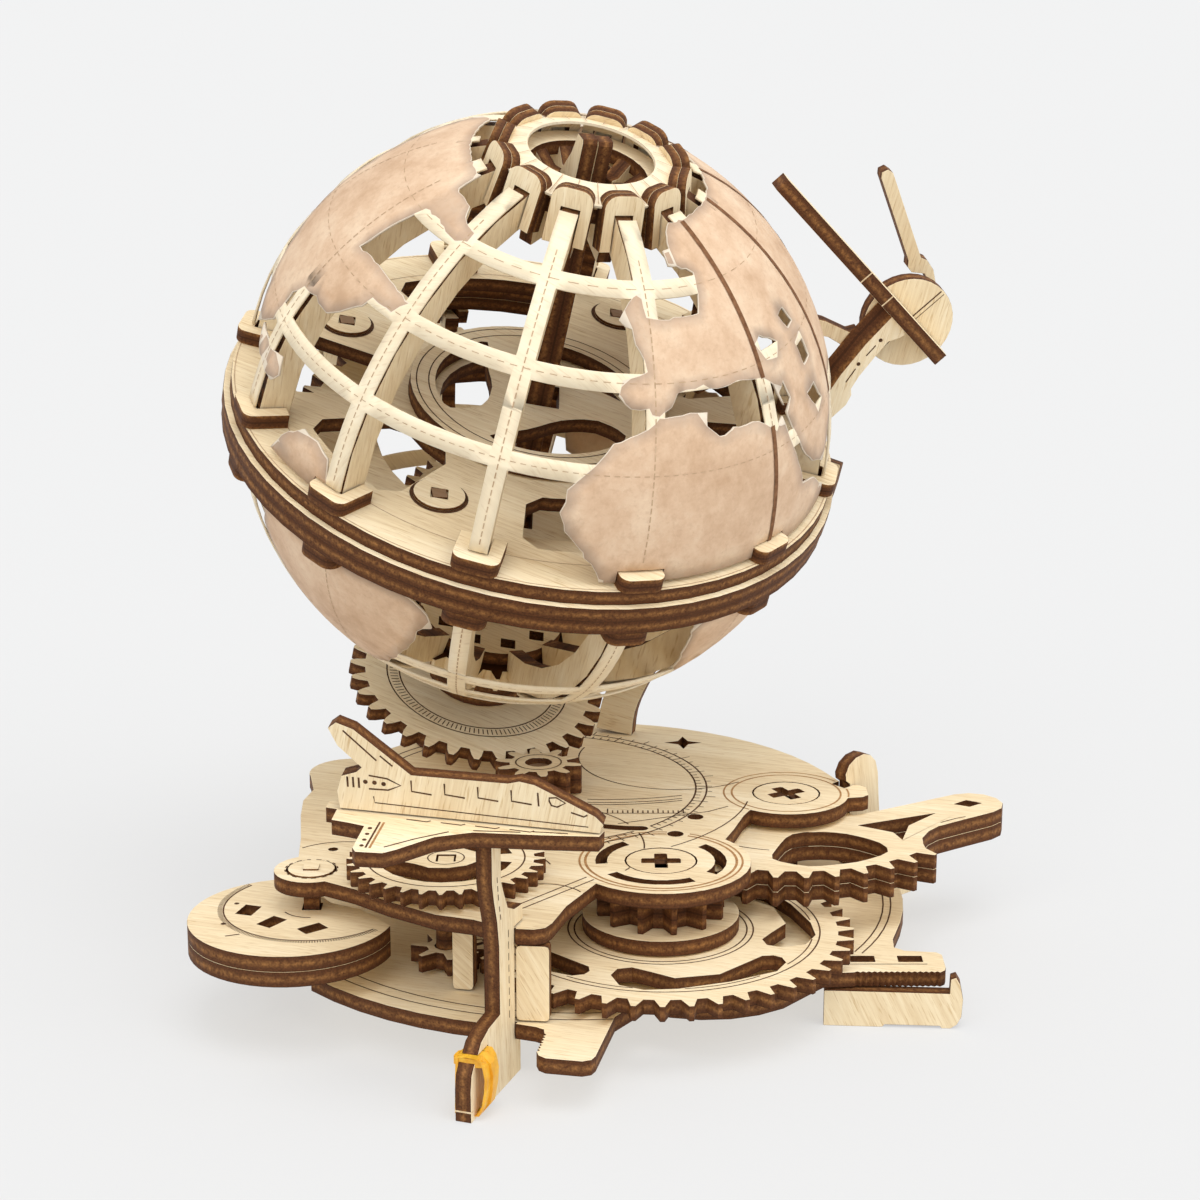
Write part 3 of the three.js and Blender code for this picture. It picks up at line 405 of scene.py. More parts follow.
class Ink:
    """Thin engraved lines on a face, gathered into one mesh."""

    def __init__(self, name, plane, body, material, height=0.03, host=None):
        self.name, self.plane, self.body, self.material, self.height = name, plane, body, material, height
        self.host = host  # a CAD node: marks that lie off its face are dropped
        self.bm = bmesh.new()

    def quad(self, corners):
        self.bm.faces.new([self.bm.verts.new((x, y, self.height)) for x, y in corners])

    def line(self, points, width=0.35, closed=False):
        pts = [Vector(p[:2]) for p in points]
        n = len(pts)
        rim = []
        for i, p in enumerate(pts):
            before = pts[i - 1] if (i or closed) else p
            after = pts[(i + 1) % n] if (i < n - 1 or closed) else p
            d = (after - before).normalized()
            rim.append((p + Vector((-d.y, d.x)) * width / 2, p - Vector((-d.y, d.x)) * width / 2))
        for i in range(n if closed else n - 1):
            a, b = rim[i], rim[(i + 1) % n]
            self.quad([a[1], b[1], b[0], a[0]])

    def circle(self, radius, centre=(0, 0), width=0.35, steps=64):
        self.line(ring_points(radius, steps, centre), width, True)

    def arc(self, radius, start, sweep, centre=(0, 0), width=0.35):
        self.line(ring_points(radius, max(6, int(abs(sweep) / 4)), centre, start, sweep), width)

    def dots(self, points, radius=0.45):
        for p in points:
            self.bm.faces.new([self.bm.verts.new((*q, self.height)) for q in ring_points(radius, 10, p)])

    def ticks(self, radius, start, sweep, count, length, centre=(0, 0), width=0.3, long_every=0, extra=1.0):
        for i in range(count):
            a = (start + sweep * i / max(1, count - 1)) * DEG
            r1 = radius + length + (extra if long_every and i % long_every == 0 else 0)
            c, s = math.cos(a), math.sin(a)
            self.line([(centre[0] + radius * c, centre[1] + radius * s),
                       (centre[0] + r1 * c, centre[1] + r1 * s)], width)

    def dashes(self, points, width=0.3, dash=1.0, gap=0.6):
        for a, b in zip(points, points[1:]):
            a, b = Vector(a), Vector(b)
            length = (b - a).length
            at = 0.0
            while at + dash <= length + 1e-6:
                self.line([a.lerp(b, at / length), a.lerp(b, (at + dash) / length)], width)
                at += dash + gap

    def drop_overhang(self):
        host = NODES[self.host].data
        tree = BVHTree.FromPolygons([v.co for v in host.vertices],
                                    [tuple(f.vertices) for f in host.polygons])
        up = direction(self.plane, (0, 0, 1))
        reach = 0.3 * MM

        def floats(v):
            return tree.ray_cast(self.plane @ v.co + up * reach, -up, 2 * reach)[0] is None

        off = [f for f in self.bm.faces if any(floats(v) for v in f.verts)]
        bmesh.ops.delete(self.bm, geom=off, context="FACES")

    def finish(self):
        if self.host:
            self.drop_overhang()
        return add_object(self.name, mesh_of(self.bm, self.name, self.plane), self.body, self.material)


# ---- CAD nodes: ply with burnt edges ------------------------------------------------------------
def dress(node, material, bevel=0.15):
    o = NODES[node]
    o.data.materials.clear()
    o.data.materials.append(material)
    weld = o.modifiers.new("weld", "WELD")
    weld.merge_threshold = 2e-6
    if bevel:
        soften(o, bevel)


UP = (0.0, 0.0, 1.0)


def level(node, seed=0.0, **more):
    dress(node, ply(UP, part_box(node)[0][2], seed=seed, **more))


for i, n in enumerate(["deck_plate", "base_plate", "drive_hub", "drive_gear", "lever_upper_sheet",
                       "lever_lower_sheet",
                       "idler_gear", "moon_top_sheet", "moon_lower_sheet"]):
    level(n, seed=float(i))
level("drive_pinion", 2.0)
level("upper_pinion", 5.0)
for n in ["lower_pinion", "star_wheel"]:
    level(n, 7.0)
for n in ["lever_axle", "drive_axle", "moon_axle", "idler_axle", "axle_stand"]:
    level(n, 8.0)
level("transfer_axle", 8.0, dark_faces=True)


def standing(node, angle, seed=0.0):
    c, s = math.cos(angle * DEG), math.sin(angle * DEG)
    normal = Vector((s, -c, 0))
    values = [v.co.dot(normal) for v in NODES[node].data.vertices]
    dress(node, ply(tuple(normal), min(values), seed=seed))


for n, angle in (("front_leg", 70), ("right_leg", -4), ("back_hook_leg", 42), ("rear_leg", -20),
                 ("front_spacer_right", -6), ("front_spacer_left", -12), ("rear_spacer", -24)):
    standing(n, angle, 2.0)
ARM_FOOT = (-10, 78)
ARM_BEARING = math.degrees(math.atan2(SATELLITE_CENTRE[1] - ARM_FOOT[1], SATELLITE_CENTRE[0] - ARM_FOOT[0]))
standing("satellite_arm", ARM_BEARING, 4.0)


def flat_on(node, normal, seed=0.0, **more):
    values = [v.co.dot(normal) for v in NODES[node].data.vertices]
    dress(node, ply(tuple(normal), min(values), seed=seed, **more))


for n in ["equator_plate", "equator_ring_middle", "equator_ring_lower", "spoked_wheel", "inner_gear",
          "pierced_disc",
          "lower_gear", "north_polar_ring", "globe_gear", "gear_collar"]:
    flat_on(n, AXIS, 1.0)
for i in range(12):
    dress("north_rib_%d" % (i + 1), ply(tuple(AXIS), 0.0, radial=True, seed=5.0))
dress("south_cage", ply(tuple(AXIS), 0.0, radial=True, seed=5.0))
flat_on("globe_axle", ACROSS, 3.0, dark_faces=True)
flat_on("shuttle_fuselage", direction(SHUTTLE, (0, -1, 0)), 6.0)
flat_on("shuttle_wing", direction(SHUTTLE, (0, 0, 1)), 6.5)
flat_on("satellite_disc", direction(SAT_BODY, (0, -1, 0)), 1.5)
flat_on("satellite_rear_disc", direction(SAT_BODY, (1, 0, 0)), 1.5)
flat_on("satellite_front_boom", direction(SAT_BODY, (0, 0, 1)), 1.5)
flat_on("satellite_rear_boom", direction(SATELLITE, (0, -1, 0)), 2.5)

# ---- globe skins --------------------------------------------------------------------------------
SKIN_R = 57.75
CARD_T = 0.45
AFRICA = [(-77.4, 0.4), (-78.6, 3), (-81.1, 6), (-82.8, 8), (-85.6, 10.4), (-86.9, 13.9), (-86.4, 18.3),
          (-83.9, 21.1), (-81.1, 23.9),
          (-78.9, 27.2), (-75.6, 28.3), (-71.7, 29.8), (-69.4, 31.7), (-66.7, 31.7), (-62, 32.4),
          (-57.8, 31.9),
          (-58, 29.4), (-55, 27.6), (-53.3, 27.2), (-51, 28.6), (-49.4, 27.8), (-46, 28.4), (-42.2, 27),
          (-39, 25),
          (-36.4, 26.6), (-34.4, 22), (-31.6, 16), (-29.5, 11.2), (-24, 9.4), (-15, 3.5), (-14, 0.4)]
EUROPE = [(-69.4, 31.7), (-71.7, 33.3), (-75.6, 33.3), (-78.3, 35.6), (-77.8, 38.3), (-71.7, 40),
          (-72.2, 41.7),
          (-74.2, 45), (-75, 47.2), (-78.7, 48.9), (-75.6, 52.2), (-71.7, 54.4), (-70.6, 49.4),
          (-66.1, 48.9),
          (-60.6, 49.4), (-54.4, 49.7), (-52.2, 52.8), (-50, 57.2), (-54, 58.4), (-58.9, 59.4),
          (-58.4, 62), (-55.5, 62.6),
          (-52.2, 66), (-47.8, 67.5), (-10, 67.5), (20, 67), (60, 66.5), (100, 66), (104, 61), (92, 58),
          (86, 52), (92, 46),
          (84, 40), (72, 36), (74, 29), (66, 22), (52, 20), (49, 11), (45, 6), (40, 10), (38, 20),
          (30, 22), (24, 15),
          (18, 7), (12, 12), (6, 21), (-2, 23), (-8, 24), (-12, 17), (-19, 10.5), (-25, 13.5), (-30, 18),
          (-35, 28),
          (-37, 33), (-40, 35.2), (-48, 36.3), (-54, 35.6), (-58, 36.9), (-64.5, 35.8), (-66.5, 33.6)]
SEAS = [[(-39, 41), (-36.5, 42.2), (-33, 40.9), (-30.2, 39.4), (-32.8, 37.2), (-37, 37.8)],
        [(-25, 43.2), (-21, 43.4), (-19.6, 40.2), (-23.4, 39.9)],
        [(-23, 36.8), (-18.6, 37.4), (-18, 32.4), (-22.4, 32)],
        [(-24.4, 27), (-20, 27.4), (-16.8, 23), (-20.4, 21.8)],
        [(-35.8, 31), (-33.2, 32.8), (-31.8, 29), (-34.4, 27)],
        [(-33.6, 23.6), (-32.2, 21.6), (-30.6, 17.6), (-32.4, 18.4)],
        [(-55, 33.8), (-52, 35.2), (-42.6, 35.2), (-43.6, 29.2), (-48, 30), (-52, 29.6)],
        [(-62.4, 33.2), (-60.8, 34.8), (-57.6, 34.9), (-56.6, 32.2), (-59, 31.9)]]
NORTH_AMERICA = [(-170, 67.5), (-152, 67), (-150.6, 62.4), (-139, 61), (-134.6, 58.4), (-128.8, 57.4),
                 (-128.8, 54.9),
                 (-134, 54), (-141, 55.4), (-150.6, 55.6), (-153.2, 50), (-155.4, 42), (-146, 42.4),
                 (-136, 41.2),
                 (-131, 40.4), (-134, 37.4), (-140.6, 37.2), (-141.4, 35.2), (-146, 31.6), (-149, 29.4),
                 (-155, 29.8),
                 (-160.6, 28.8), (-163.4, 26), (-164.6, 19), (-172, 14), (-179, 21), (-186, 27),
                 (-193, 35), (-197, 44),
                 (-204, 52), (-214, 58), (-222, 62), (-216, 66.5), (-196, 67.5)]
CENTRAL_AMERICA = [(-160, 15.6), (-154.6, 16.6), (-152.8, 13.8), (-155, 11), (-160, 11.6), (-165, 12.4),
                   (-168, 16)]
SOUTH_AMERICA = [(-149, 0.4), (-144.4, 7), (-140.4, 9.8), (-136, 9.4), (-132.8, 8.2), (-130.4, 0.4)]
NORTH_LAND = [AFRICA, EUROPE, NORTH_AMERICA, CENTRAL_AMERICA, SOUTH_AMERICA]
SOUTH_LAND = [
    [(-152, -11.5), (-151, -16), (-153, -20), (-150, -28), (-146, -36), (-142, -44), (-138, -52),
     (-133, -58), (-129, -56),
     (-129, -50), (-124.4, -45), (-118.6, -40.4), (-114.6, -34), (-112.2, -29.6), (-109.6, -24),
     (-109, -20.4),
     (-106, -17.8), (-107, -14.6), (-111, -11.5)],
    [(-53.6, -13.4), (-52.6, -18), (-51.6, -23), (-48.6, -30), (-43, -37), (-37.4, -39), (-33, -33),
     (-30, -27),
     (-26, -22), (-25, -16), (-28, -11.5), (-50, -11.5)],
    [(32, -15), (44, -12.5), (54, -16), (64, -14), (72, -22), (78, -30), (74, -38), (64, -41), (54, -36),
     (42, -35), (32, -36),
     (28, -27)],
    [(22, -11.5), (30, -11.5), (31, -13), (24, -13)]]
RIB_PITCH = 30
FIRST_RIB = -10
RIB_LONGITUDES = [FIRST_RIB + RIB_PITCH * k for k in range(12)]
PARALLELS = {1: [21.5, 37.8, 54.8], -1: [-34, -43.5, -56]}
CLIP_HALF = 4.6  # degrees of longitude that a clip takes out of the card
CLIP_TOP = 3.4  # degrees of latitude
STRIP_HALF = 1.75  # mm


def wrap(a):
    return (a + 190) % 360 - 190


def densify(loop, step=2.5):
    out = []
    for i in range(len(loop)):
        (x0, y0), (x1, y1) = loop[i], loop[(i + 1) % len(loop)]
        n = max(1, math.ceil(math.hypot(x1 - x0, y1 - y0) / step))
        out += [(x0 + (x1 - x0) * k / n, y0 + (y1 - y0) * k / n) for k in range(n)]
    return out


def ragged(loop, seed, amount=0.25):
    """Small bays and capes along a coast."""
    r = random.Random(seed)
    return [(x + r.uniform(-amount, amount), y + r.uniform(-amount, amount)) for x, y in densify(loop, 2.3)]


def on_sphere(lon, lat, r):
    return Vector((r * math.cos(lat * DEG) * math.cos(lon * DEG),
                   r * math.cos(lat * DEG) * math.sin(lon * DEG),
                   r * math.sin(lat * DEG)))


def skin(name, side, lands, seas, low, high):
    lands = [ragged(l, i + 1, 0.28) for i, l in enumerate(lands)]
    seas = [ragged(l, i + 40, 0.2) for i, l in enumerate(seas)]
    west, east = -190.0, 170.0
    strips = []
    for lon in RIB_LONGITUDES:
        steps = 14
        lats = [low + (high - low) * k / steps for k in range(steps + 1)]
        half = [STRIP_HALF / (SKIN_R * math.cos(a * DEG)) / DEG for a in lats]
        c = wrap(lon)
        strips.append([(c - h, a) for h, a in zip(half, lats)] + [(c + h, a)
                                                                  for h, a in reversed(list(zip(half,
                                                                                                lats)))])
    band = STRIP_HALF / SKIN_R / DEG
    belts = [(p - band, p + band) for p in PARALLELS[side]]
    for a, b in belts:
        steps = 90
        lons = [west + (east - west) * k / steps for k in range(steps + 1)]
        strips.append([(x, a) for x in lons] + [(x, b) for x in reversed(lons)])
    grid = [(west + 4 * i, low + (high - low) * j / 16) for i in range(91) for j in range(17)]
    clips = [[(c - CLIP_HALF, 0), (c + CLIP_HALF, 0), (c + CLIP_HALF, CLIP_TOP), (c - CLIP_HALF, CLIP_TOP)]
             for c in (wrap(lon) for lon in RIB_LONGITUDES)] if side > 0 else []
    border = [(west + 4 * i, low) for i in range(91)] + [(east - 4 * i, high) for i in range(91)]

    def kind(c):
        if not (min(low, high) < c[1] < max(low, high)) or any(inside(c, q) for q in clips):
            return None
        wet = any(inside(c, s) for s in seas)
        other = (c[0] + 360, c[1]), (c[0] - 360, c[1])
        if not wet and any(inside(q, l) for q in (c, *other) for l in lands):
            return 0
        if any(inside(c, s) for s in strips):
            return 1
        return None

    moved = [[(x + 360, y) for x, y in l] for l in lands if min(x for x, _ in l) < west]
    verts, faces = triangles([*lands, *moved, *seas, *strips, *clips, border], grid,
                             lambda c: west < c[0] < east and kind(c) is not None)
    bm = bmesh.new()
    layer = bm.verts.layers.float.new("coast")
    coast = [(Vector(a), Vector(b)) for l in [*lands, *moved, *seas] for a, b in zip(l, l[1:] + l[:1])]
    vs = {}
    for f in faces:
        for i in f:
            if i in vs:
                continue
            v = verts[i]
            bv = bm.verts.new(on_sphere(v.x, v.y, SKIN_R))
            k = math.cos(v.y * DEG)
            q = Vector((v.x * k, v.y))
            best = 9.0
            for a, b in coast:
                if abs(a.y - v.y) > 9:
                    continue
                a2, b2 = Vector((a.x * k, a.y)), Vector((b.x * k, b.y))
                d = b2 - a2
                t = max(0.0, min(1.0, (q - a2).dot(d) / max(d.length_squared, 1e-9)))
                best = min(best, (a2 + d * t - q).length)
            bv[layer] = best
            vs[i] = bv
    for f in faces:
        c = (sum(verts[i].x for i in f) / len(f), sum(verts[i].y for i in f) / len(f))
        face = bm.faces.new([vs[i] for i in f])
        face.material_index = kind(c)
        face.smooth = True
    bmesh.ops.remove_doubles(bm, verts=bm.verts, dist=0.01)
    bmesh.ops.recalc_face_normals(bm, faces=bm.faces)
    o = add_object(name, mesh_of(bm, name, GLOBE), "globe", CARD, STRIP, slot="printed_card")
    m = o.modifiers.new("thickness", "SOLIDIFY")
    m.thickness = CARD_T * MM
    m.offset = 0
    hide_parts(name.replace("_sheet", ""))
    return o


skin("north_skin_sheet", 1, NORTH_LAND, SEAS, 0.9, 69.0)
skin("south_skin_sheet", -1, SOUTH_LAND, [], -11.8, -66.0)


# ---- clips at the ends of the ribs --------------------------------------------------------------
def u_clip(half, slot_half, back, front, corner):
    """A U in plan: open towards the axis (-x), rounded in front."""
    f = front - corner
    return ([(back, slot_half), (back, half)] + [(f + corner * math.sin(a * DEG),
                                                  half - corner + corner * math.cos(a * DEG))
                                               for a in range(0, 91, 18)]
            + [(f + corner * math.cos(a * DEG), -half + corner - corner * math.sin(a * DEG))
               for a in range(0, 91, 18)]
            + [(back, -half), (back, -slot_half), (57.2, -slot_half), (57.2, slot_half)])


FACE_OUT = Matrix(((0, 0, 1, 0), (1, 0, 0, 0), (0, 1, 0, 0), (0, 0, 0, 1)))  # x across, y up, z outwards
POLE_CLIP_AT = (17.7, 0, 51.6)
POLE_CLIP_LEAN = -10 * DEG
for k, lon in enumerate(RIB_LONGITUDES):
    turn = GLOBE @ Matrix.Rotation(lon * DEG, 4, "Z")
    plate("band_clip_%d" % k, turn, u_clip(4.4, 1.8, 51.5, 60.3, 1.9)[::-1], [], 0.05, 3.0, "globe",
          ply(tuple(AXIS), 0.0, seed=1.0))
    plate("under_clip_%d" % k, turn, u_clip(4.2, 1.8, 51.5, 60.0, 2.4)[::-1], [], -12.2, -9.2, "globe",
          ply(tuple(AXIS), 0.0, seed=1.0))
    # At the pole the clips stand up, each astride its rib, leaning with the globe's curve.
    lean = Matrix.Translation(POLE_CLIP_AT) @ Matrix.Rotation(POLE_CLIP_LEAN, 4, "Y") @ FACE_OUT
    head = ([(-3.9, -4.8), (-1.8, -4.8), (-1.8, 2.2), (1.8, 2.2), (1.8, -4.8), (3.9, -4.8)]
            + [(3.9 - 2.5 + 2.5 * math.cos(a * DEG), 3.4 + 2.5 * math.sin(a * DEG))
               for a in range(0, 91, 18)]
            + [(-3.9 + 2.5 - 2.5 * math.sin(a * DEG), 3.4 + 2.5 * math.cos(a * DEG))
               for a in range(0, 91, 18)])
    plane = turn @ lean
    n = direction(plane, (0, 0, 1))
    for j in range(2):
        low = -1.75 + 1.75 * j
        base = (plane @ Vector((0, 0, low))).dot(n)
        plate("pole_clip_%d_%d" % (k, j), plane, head, [], low, low + 1.72, "globe",
              ply(tuple(n), base, seed=1.0),
              bevel=0.1)
    # The rib's inner end turns down inside the ring.
    standing_rib = turn @ SIDE_UP
    plate("pole_rib_end_%d" % k, standing_rib, [(6.4, 44), (15, 42), (15.4, 50.4), (12.4, 52.6),
                                                (8.4, 49.6), (6.4, 49.6)],
          [], -1.5, 1.5, "globe", ply(tuple(direction(standing_rib, (0, 0, 1))), 0.0, seed=2.0))
# The card's ends make a ring inside the clips.
PETAL_STEPS = 4
PETAL_LOW, PETAL_HIGH = 72, 78  # degrees of latitude
PETAL_R = 57.9
PETAL_THICKNESS = 0.5
petals = bmesh.new()
for lon in RIB_LONGITUDES:
    for j in range(PETAL_STEPS):
        a0, a1 = (lon + RIB_PITCH * (j + i) / PETAL_STEPS for i in range(2))
        quad = [on_sphere(a, lat, PETAL_R) for a, lat in ((a0, PETAL_LOW), (a1, PETAL_LOW),
                                                          (a1, PETAL_HIGH), (a0, PETAL_HIGH))]
        petals.faces.new([petals.verts.new(p) for p in quad])
bmesh.ops.remove_doubles(petals, verts=petals.verts, dist=0.01)
o = add_object("pole_petals", mesh_of(petals, "pole_petals", GLOBE), "globe", STRIP, slot="printed_card")
m = o.modifiers.new("thickness", "SOLIDIFY")
m.thickness = PETAL_THICKNESS * MM
# The fixed axle's head: two plies that taper to the back.
head_plane = GLOBE @ Matrix.Rotation(18 * DEG, 4, "Z") @ FACE_OUT
head_normal = direction(head_plane, (0, 0, 1))
for j in range(2):
    plate("axle_head_%d" % j, head_plane, [(-2.6, 49.5), (5.6, 49.5), (2, 55.4 - 0.4 * j),
                                           (0.6, 60.2 - 0.4 * j),
                                           (-2.2, 60.4 - 0.4 * j), (-2.6, 59.6 - 0.4 * j)],
          [], -3.2 + 3.1 * j, -0.2 + 3.1 * j, "frame",
          ply(tuple(head_normal), (head_plane @ Vector((0, 0, -3.2 + 3.1 * j))).dot(head_normal), seed=3.0))

# ---- bushes on the equator plate ----------------------------------------------------------------
for k, (x, y) in enumerate([(-17.5, -36), (-39, 20.6), (16.5, 42.2), (40, -8), (30, 30)]):
    hole = [(-1.6, -1.6), (1.6, -1.6), (1.6, 1.6), (-1.6, 1.6)]
    plane = GLOBE @ Matrix.Translation((x, y, 0))
    plate("plate_bush_%d" % k, plane, ring_points(4.9, 28), [hole], 0.05, 0.7, "globe",
          ply(tuple(AXIS), 0.0, seed=4.0))
    plate("plate_pin_%d" % k, plane @ Matrix.Rotation(0.2, 4, "Z"), [(x * 0.9, y * 0.9) for x, y in hole],
          [], 0.05, 0.8,
          "globe", ply(tuple(AXIS), 0.0, dark_faces=True))
    ink = Ink("bush_line_%d" % k, plane, "globe", ENGRAVED, 0.05)
    ink.circle(5.2, width=0.7, steps=28)
    ink.finish()

# ---- engraving ----------------------------------------------------------------------------------
DISC = (-15.5, 29)
DIAL = (-25, 42)
deck = Ink("deck_engraving", DECK, "frame", ENGRAVED, host="deck_plate")
gold = Ink("deck_engraving_golden", DECK, "frame", SCORCHED, host="deck_plate")
gold.circle(14.3, width=0.5)
gold.circle(15.4, width=0.4)
gold.circle(11, LEVER_PIVOT, 0.4)
gold.circle(12.6, LEVER_PIVOT, 0.35)
deck.circle(33, DIAL, 0.35, 96)
deck.circle(35.2, DIAL, 0.35, 96)
deck.ticks(33, -90, 180, 61, 1.2, DIAL, 0.28, 5, 0.9)
deck.ticks(35.4, -90, 200, 41, 0.9, DIAL, 0.25, 4, 1.0)
for c, r, a, w in (((-46, 18), 22, -60, 190), ((-46, 18), 23, -60, 190), (DIAL, 44, -72, 60), 
                   (IDLER_PIVOT, 20.4, 20, 130), ((-60, -2), 12, 10, 160), ((-28, 8), 25, -40, 120),
                   ((4, 60), 20, 160, 150),
                   ((-22, -20), 8, 30, 120), (MOON_PIVOT, 4.9, 0, 359)):
    deck.arc(r, a, w, c, 0.3)
for i in range(16):
    x = -10 + i
    deck.line([(x, 26), (x, 27.6 + (1.0 if i % 5 == 0 else 0))], 0.25)
deck.line([(-11, 26), (6, 26)], 0.3)
deck.line([(-14, -8.6), (-31, -27.5)], 0.3)
deck.line([(-12.6, -9.8), (-29.4, -28.4)], 0.3)
for y in (31, 32.2, 34):
    deck.arc(46, -95, 24, (-10, y + 46), 0.3)
deck.line([(-8, 20), (10, 27), (14, 30)], 0.3)
deck.line([(-56, -12), (-50, -14), (-44, -12)], 0.3)
deck.dots([(-53, -10), (-47, -15.4)], 0.7)
star = [(6.2 + (2.6 if i % 2 else 1.5) * math.cos(i * 45 * DEG),
         70 + (2.6 if i % 2 else 1.5) * math.sin(i * 45 * DEG))
        for i in range(8)]
deck.bm.faces.new([deck.bm.verts.new((*p, deck.height)) for p in star])
deck.finish()
gold.finish()

# The deck axles' cross recesses get a dark cross at the bottom: painted shade inside the slots.
for name, plane, turned, body in (("drive", DECK, 0, "drive_shaft"),
                                  ("lever", shifted(*LEVER_PIVOT), 0.5, "lever")):
    recess = Ink(name + "_recess", plane @ Matrix.Rotation(turned, 4, "Z"), body, ENGRAVED, -1.15)
    recess.line([(-3.65, 0), (3.65, 0)], 2.3)
    recess.line([(0, -3.65), (0, 3.65)], 2.3)
    recess.finish()

base = Ink("base_engraving", shifted(0, 0, BASE_TOP), "frame", ENGRAVED, host="base_plate")
for r in (61.4, 58.5):
    base.arc(r, -140, 60, DISC, 0.3)
for r in (60.5, 62):
    base.arc(r, -30, 44, DISC, 0.3)
base.arc(26, -120, 74, (8, -4), 0.3)
base.line([(35, -7.2), (50, -7.2)], 0.25)
base.finish()

gear = Ink("drive_gear_engraving", shifted(0, 0, GEAR_TOP), "drive_shaft", ENGRAVED, host="drive_gear")
gear.circle(16.4, width=0.3)
gear.circle(17.6, width=0.3)
gear.circle(30.2, width=0.3, steps=96)
gear.circle(28.9, width=0.25, steps=96)
gear.finish()

lever = Ink("lever_engraving", shifted(*LEVER_PIVOT, LEVER_TOP), "lever", ENGRAVED,
            host="lever_upper_sheet")
lever.arc(22.4, -130, 84, (0, 0), 0.3)
lever.arc(9.6, 10, 160, (0, 0), 0.3)
lever.line([(30.6, -6.4), (34, -4), (36, -3)], 0.3)
lever.finish()

idler = Ink("idler_engraving", shifted(*IDLER_PIVOT, IDLER_TOP), "idler_shaft", ENGRAVED, host="idler_gear")
idler.circle(14.6, width=0.3)
idler.circle(3.4, width=0.25, steps=24)
idler.finish()

moon = Ink("moon_engraving", shifted(*MOON_PIVOT, MOON_TOP), "moon", ENGRAVED, host="moon_top_sheet")
moon.arc(16.6, 140, 178, width=0.3)
moon.ticks(16.8, 140, 178, 110, 0.9, width=0.2)
moon.arc(5.6, -150, 62, width=0.3)
moon.line([(-14.5, -14.5), (-12, -13.6)], 0.4)
moon.dots([(-15.6, -8.6), (-14.4, 1.4)], 0.5)
moon.finish()

wheel = Ink("globe_gear_engraving", GLOBE @ Matrix.Translation((0, 0, -67.6)), "globe", ENGRAVED,
            host="globe_gear")
wheel.circle(19.2, width=0.3)
wheel.circle(16.6, width=0.3)
wheel.ticks(17, 0, 357, 120, 1.6, width=0.22)
wheel.finish()

pinion = Ink("upper_pinion_engraving", shifted(*TRANSFER_PIVOT, PINION_TOP), "transfer_shaft", ENGRAVED,
             host="upper_pinion")
pinion.circle(4.6, width=0.3, steps=32)
pinion.finish()

spokes = Ink("spoked_wheel_engraving", GLOBE @ Matrix.Translation((0, 0, 3.4)), "globe", ENGRAVED)
spokes.circle(24.2, width=0.25, steps=90)
spokes.circle(21.8, width=0.25, steps=90)
spokes.finish()

band = Ink("plate_engraving", GLOBE, "globe", FAINT)
for r in (51.6, 59.0):
    band.circle(r, width=0.22, steps=120)
band.finish()

side = Ink("fuselage_engraving", SHUTTLE @ SIDE_UP, "frame", ENGRAVED, 1.53, host="shuttle_fuselage")
for x in (-9.4, -3.6, 2.2, 8):
    side.line([(x, 7.0), (x + 0.1, 4.9), (x + 3.6, 4.6)], 0.3)
side.line([(12.6, 7.0), (12.8, 4.4)], 0.3)
side.line([(14.6, 6.2), (15.8, 6.4), (17.4, 5.5), (16, 4.6), (15, 4.8), (14.6, 5.6)], 0.3, True)
side.line([(18.4, 3.8), (20.6, 3.2), (21.2, 3.6)], 0.3)
side.line([(-21.2, 15.4), (-15.4, 10.2)], 0.3)
side.line([(-14.8, 11.2), (-12.6, 9.4)], 0.3)
side.line([(-16.8, 7.2), (-13.6, 6.9), (-11.2, 5.8), (-13.4, 4.7), (-16.8, 4.6)], 0.3)
for x in (-20.6, -19.6, -18.6):
    side.line([(x, 6.6), (x + 0.1, 4.6)], 0.35)
side.dots([(-17.4, 5.9), (-15.8, 5.9), (-14.2, 5.8)], 0.42)
side.line([(-16, 3.2), (-15.8, 2.0), (21.4, 1.3)], 0.2)
side.finish()
WING = SHUTTLE @ Matrix.Translation((0, 0, -0.05))
wing = Ink("wing_engraving", WING, "frame", ENGRAVED, host="shuttle_wing")
for x in (-10, -4, 2, 8):
    wing.line([(x, -2.6), (x + 3.6, -2.8), (x + 4.2, -2.3)], 0.3)
wing.line([(-11.6, -12.6), (-7, -8.8), (-2, -5.4)], 0.3)
wing.line([(2, -4.2), (10, -3.2)], 0.3)
wing.line([(12, -2.6), (18, -2.1)], 0.3)
wing.line([(-14.6, -13.4), (-14.2, -4.4)], 0.35)
wing.dots([(-15.4, y) for y in (-12.8, -10.8, -8.8, -6.8)], 0.4)
wing.finish()
flap = Ink("wing_engraving_golden", WING, "frame", SCORCHED, 0.035, host="shuttle_wing")
flap.line([(-13.9, -13.4), (-13.5, -4.4)], 0.4)
flap.finish()

disc = Ink("satellite_engraving", SAT_BODY @ SIDE_UP, "frame", ENGRAVED, 1.53)
disc.line([(-0.4, -9), (-0.4, 9)], 0.3)
disc.line([(0.5, -9), (0.5, 9)], 0.15)
disc.finish()
# The arm is cut off where the bracket takes over, behind the globe's edge.
ARM_SPINE = [(2, 0.4), (4, 9), (12, 22), (26, 32), (38, 43), (45, 54), (48, 63)]


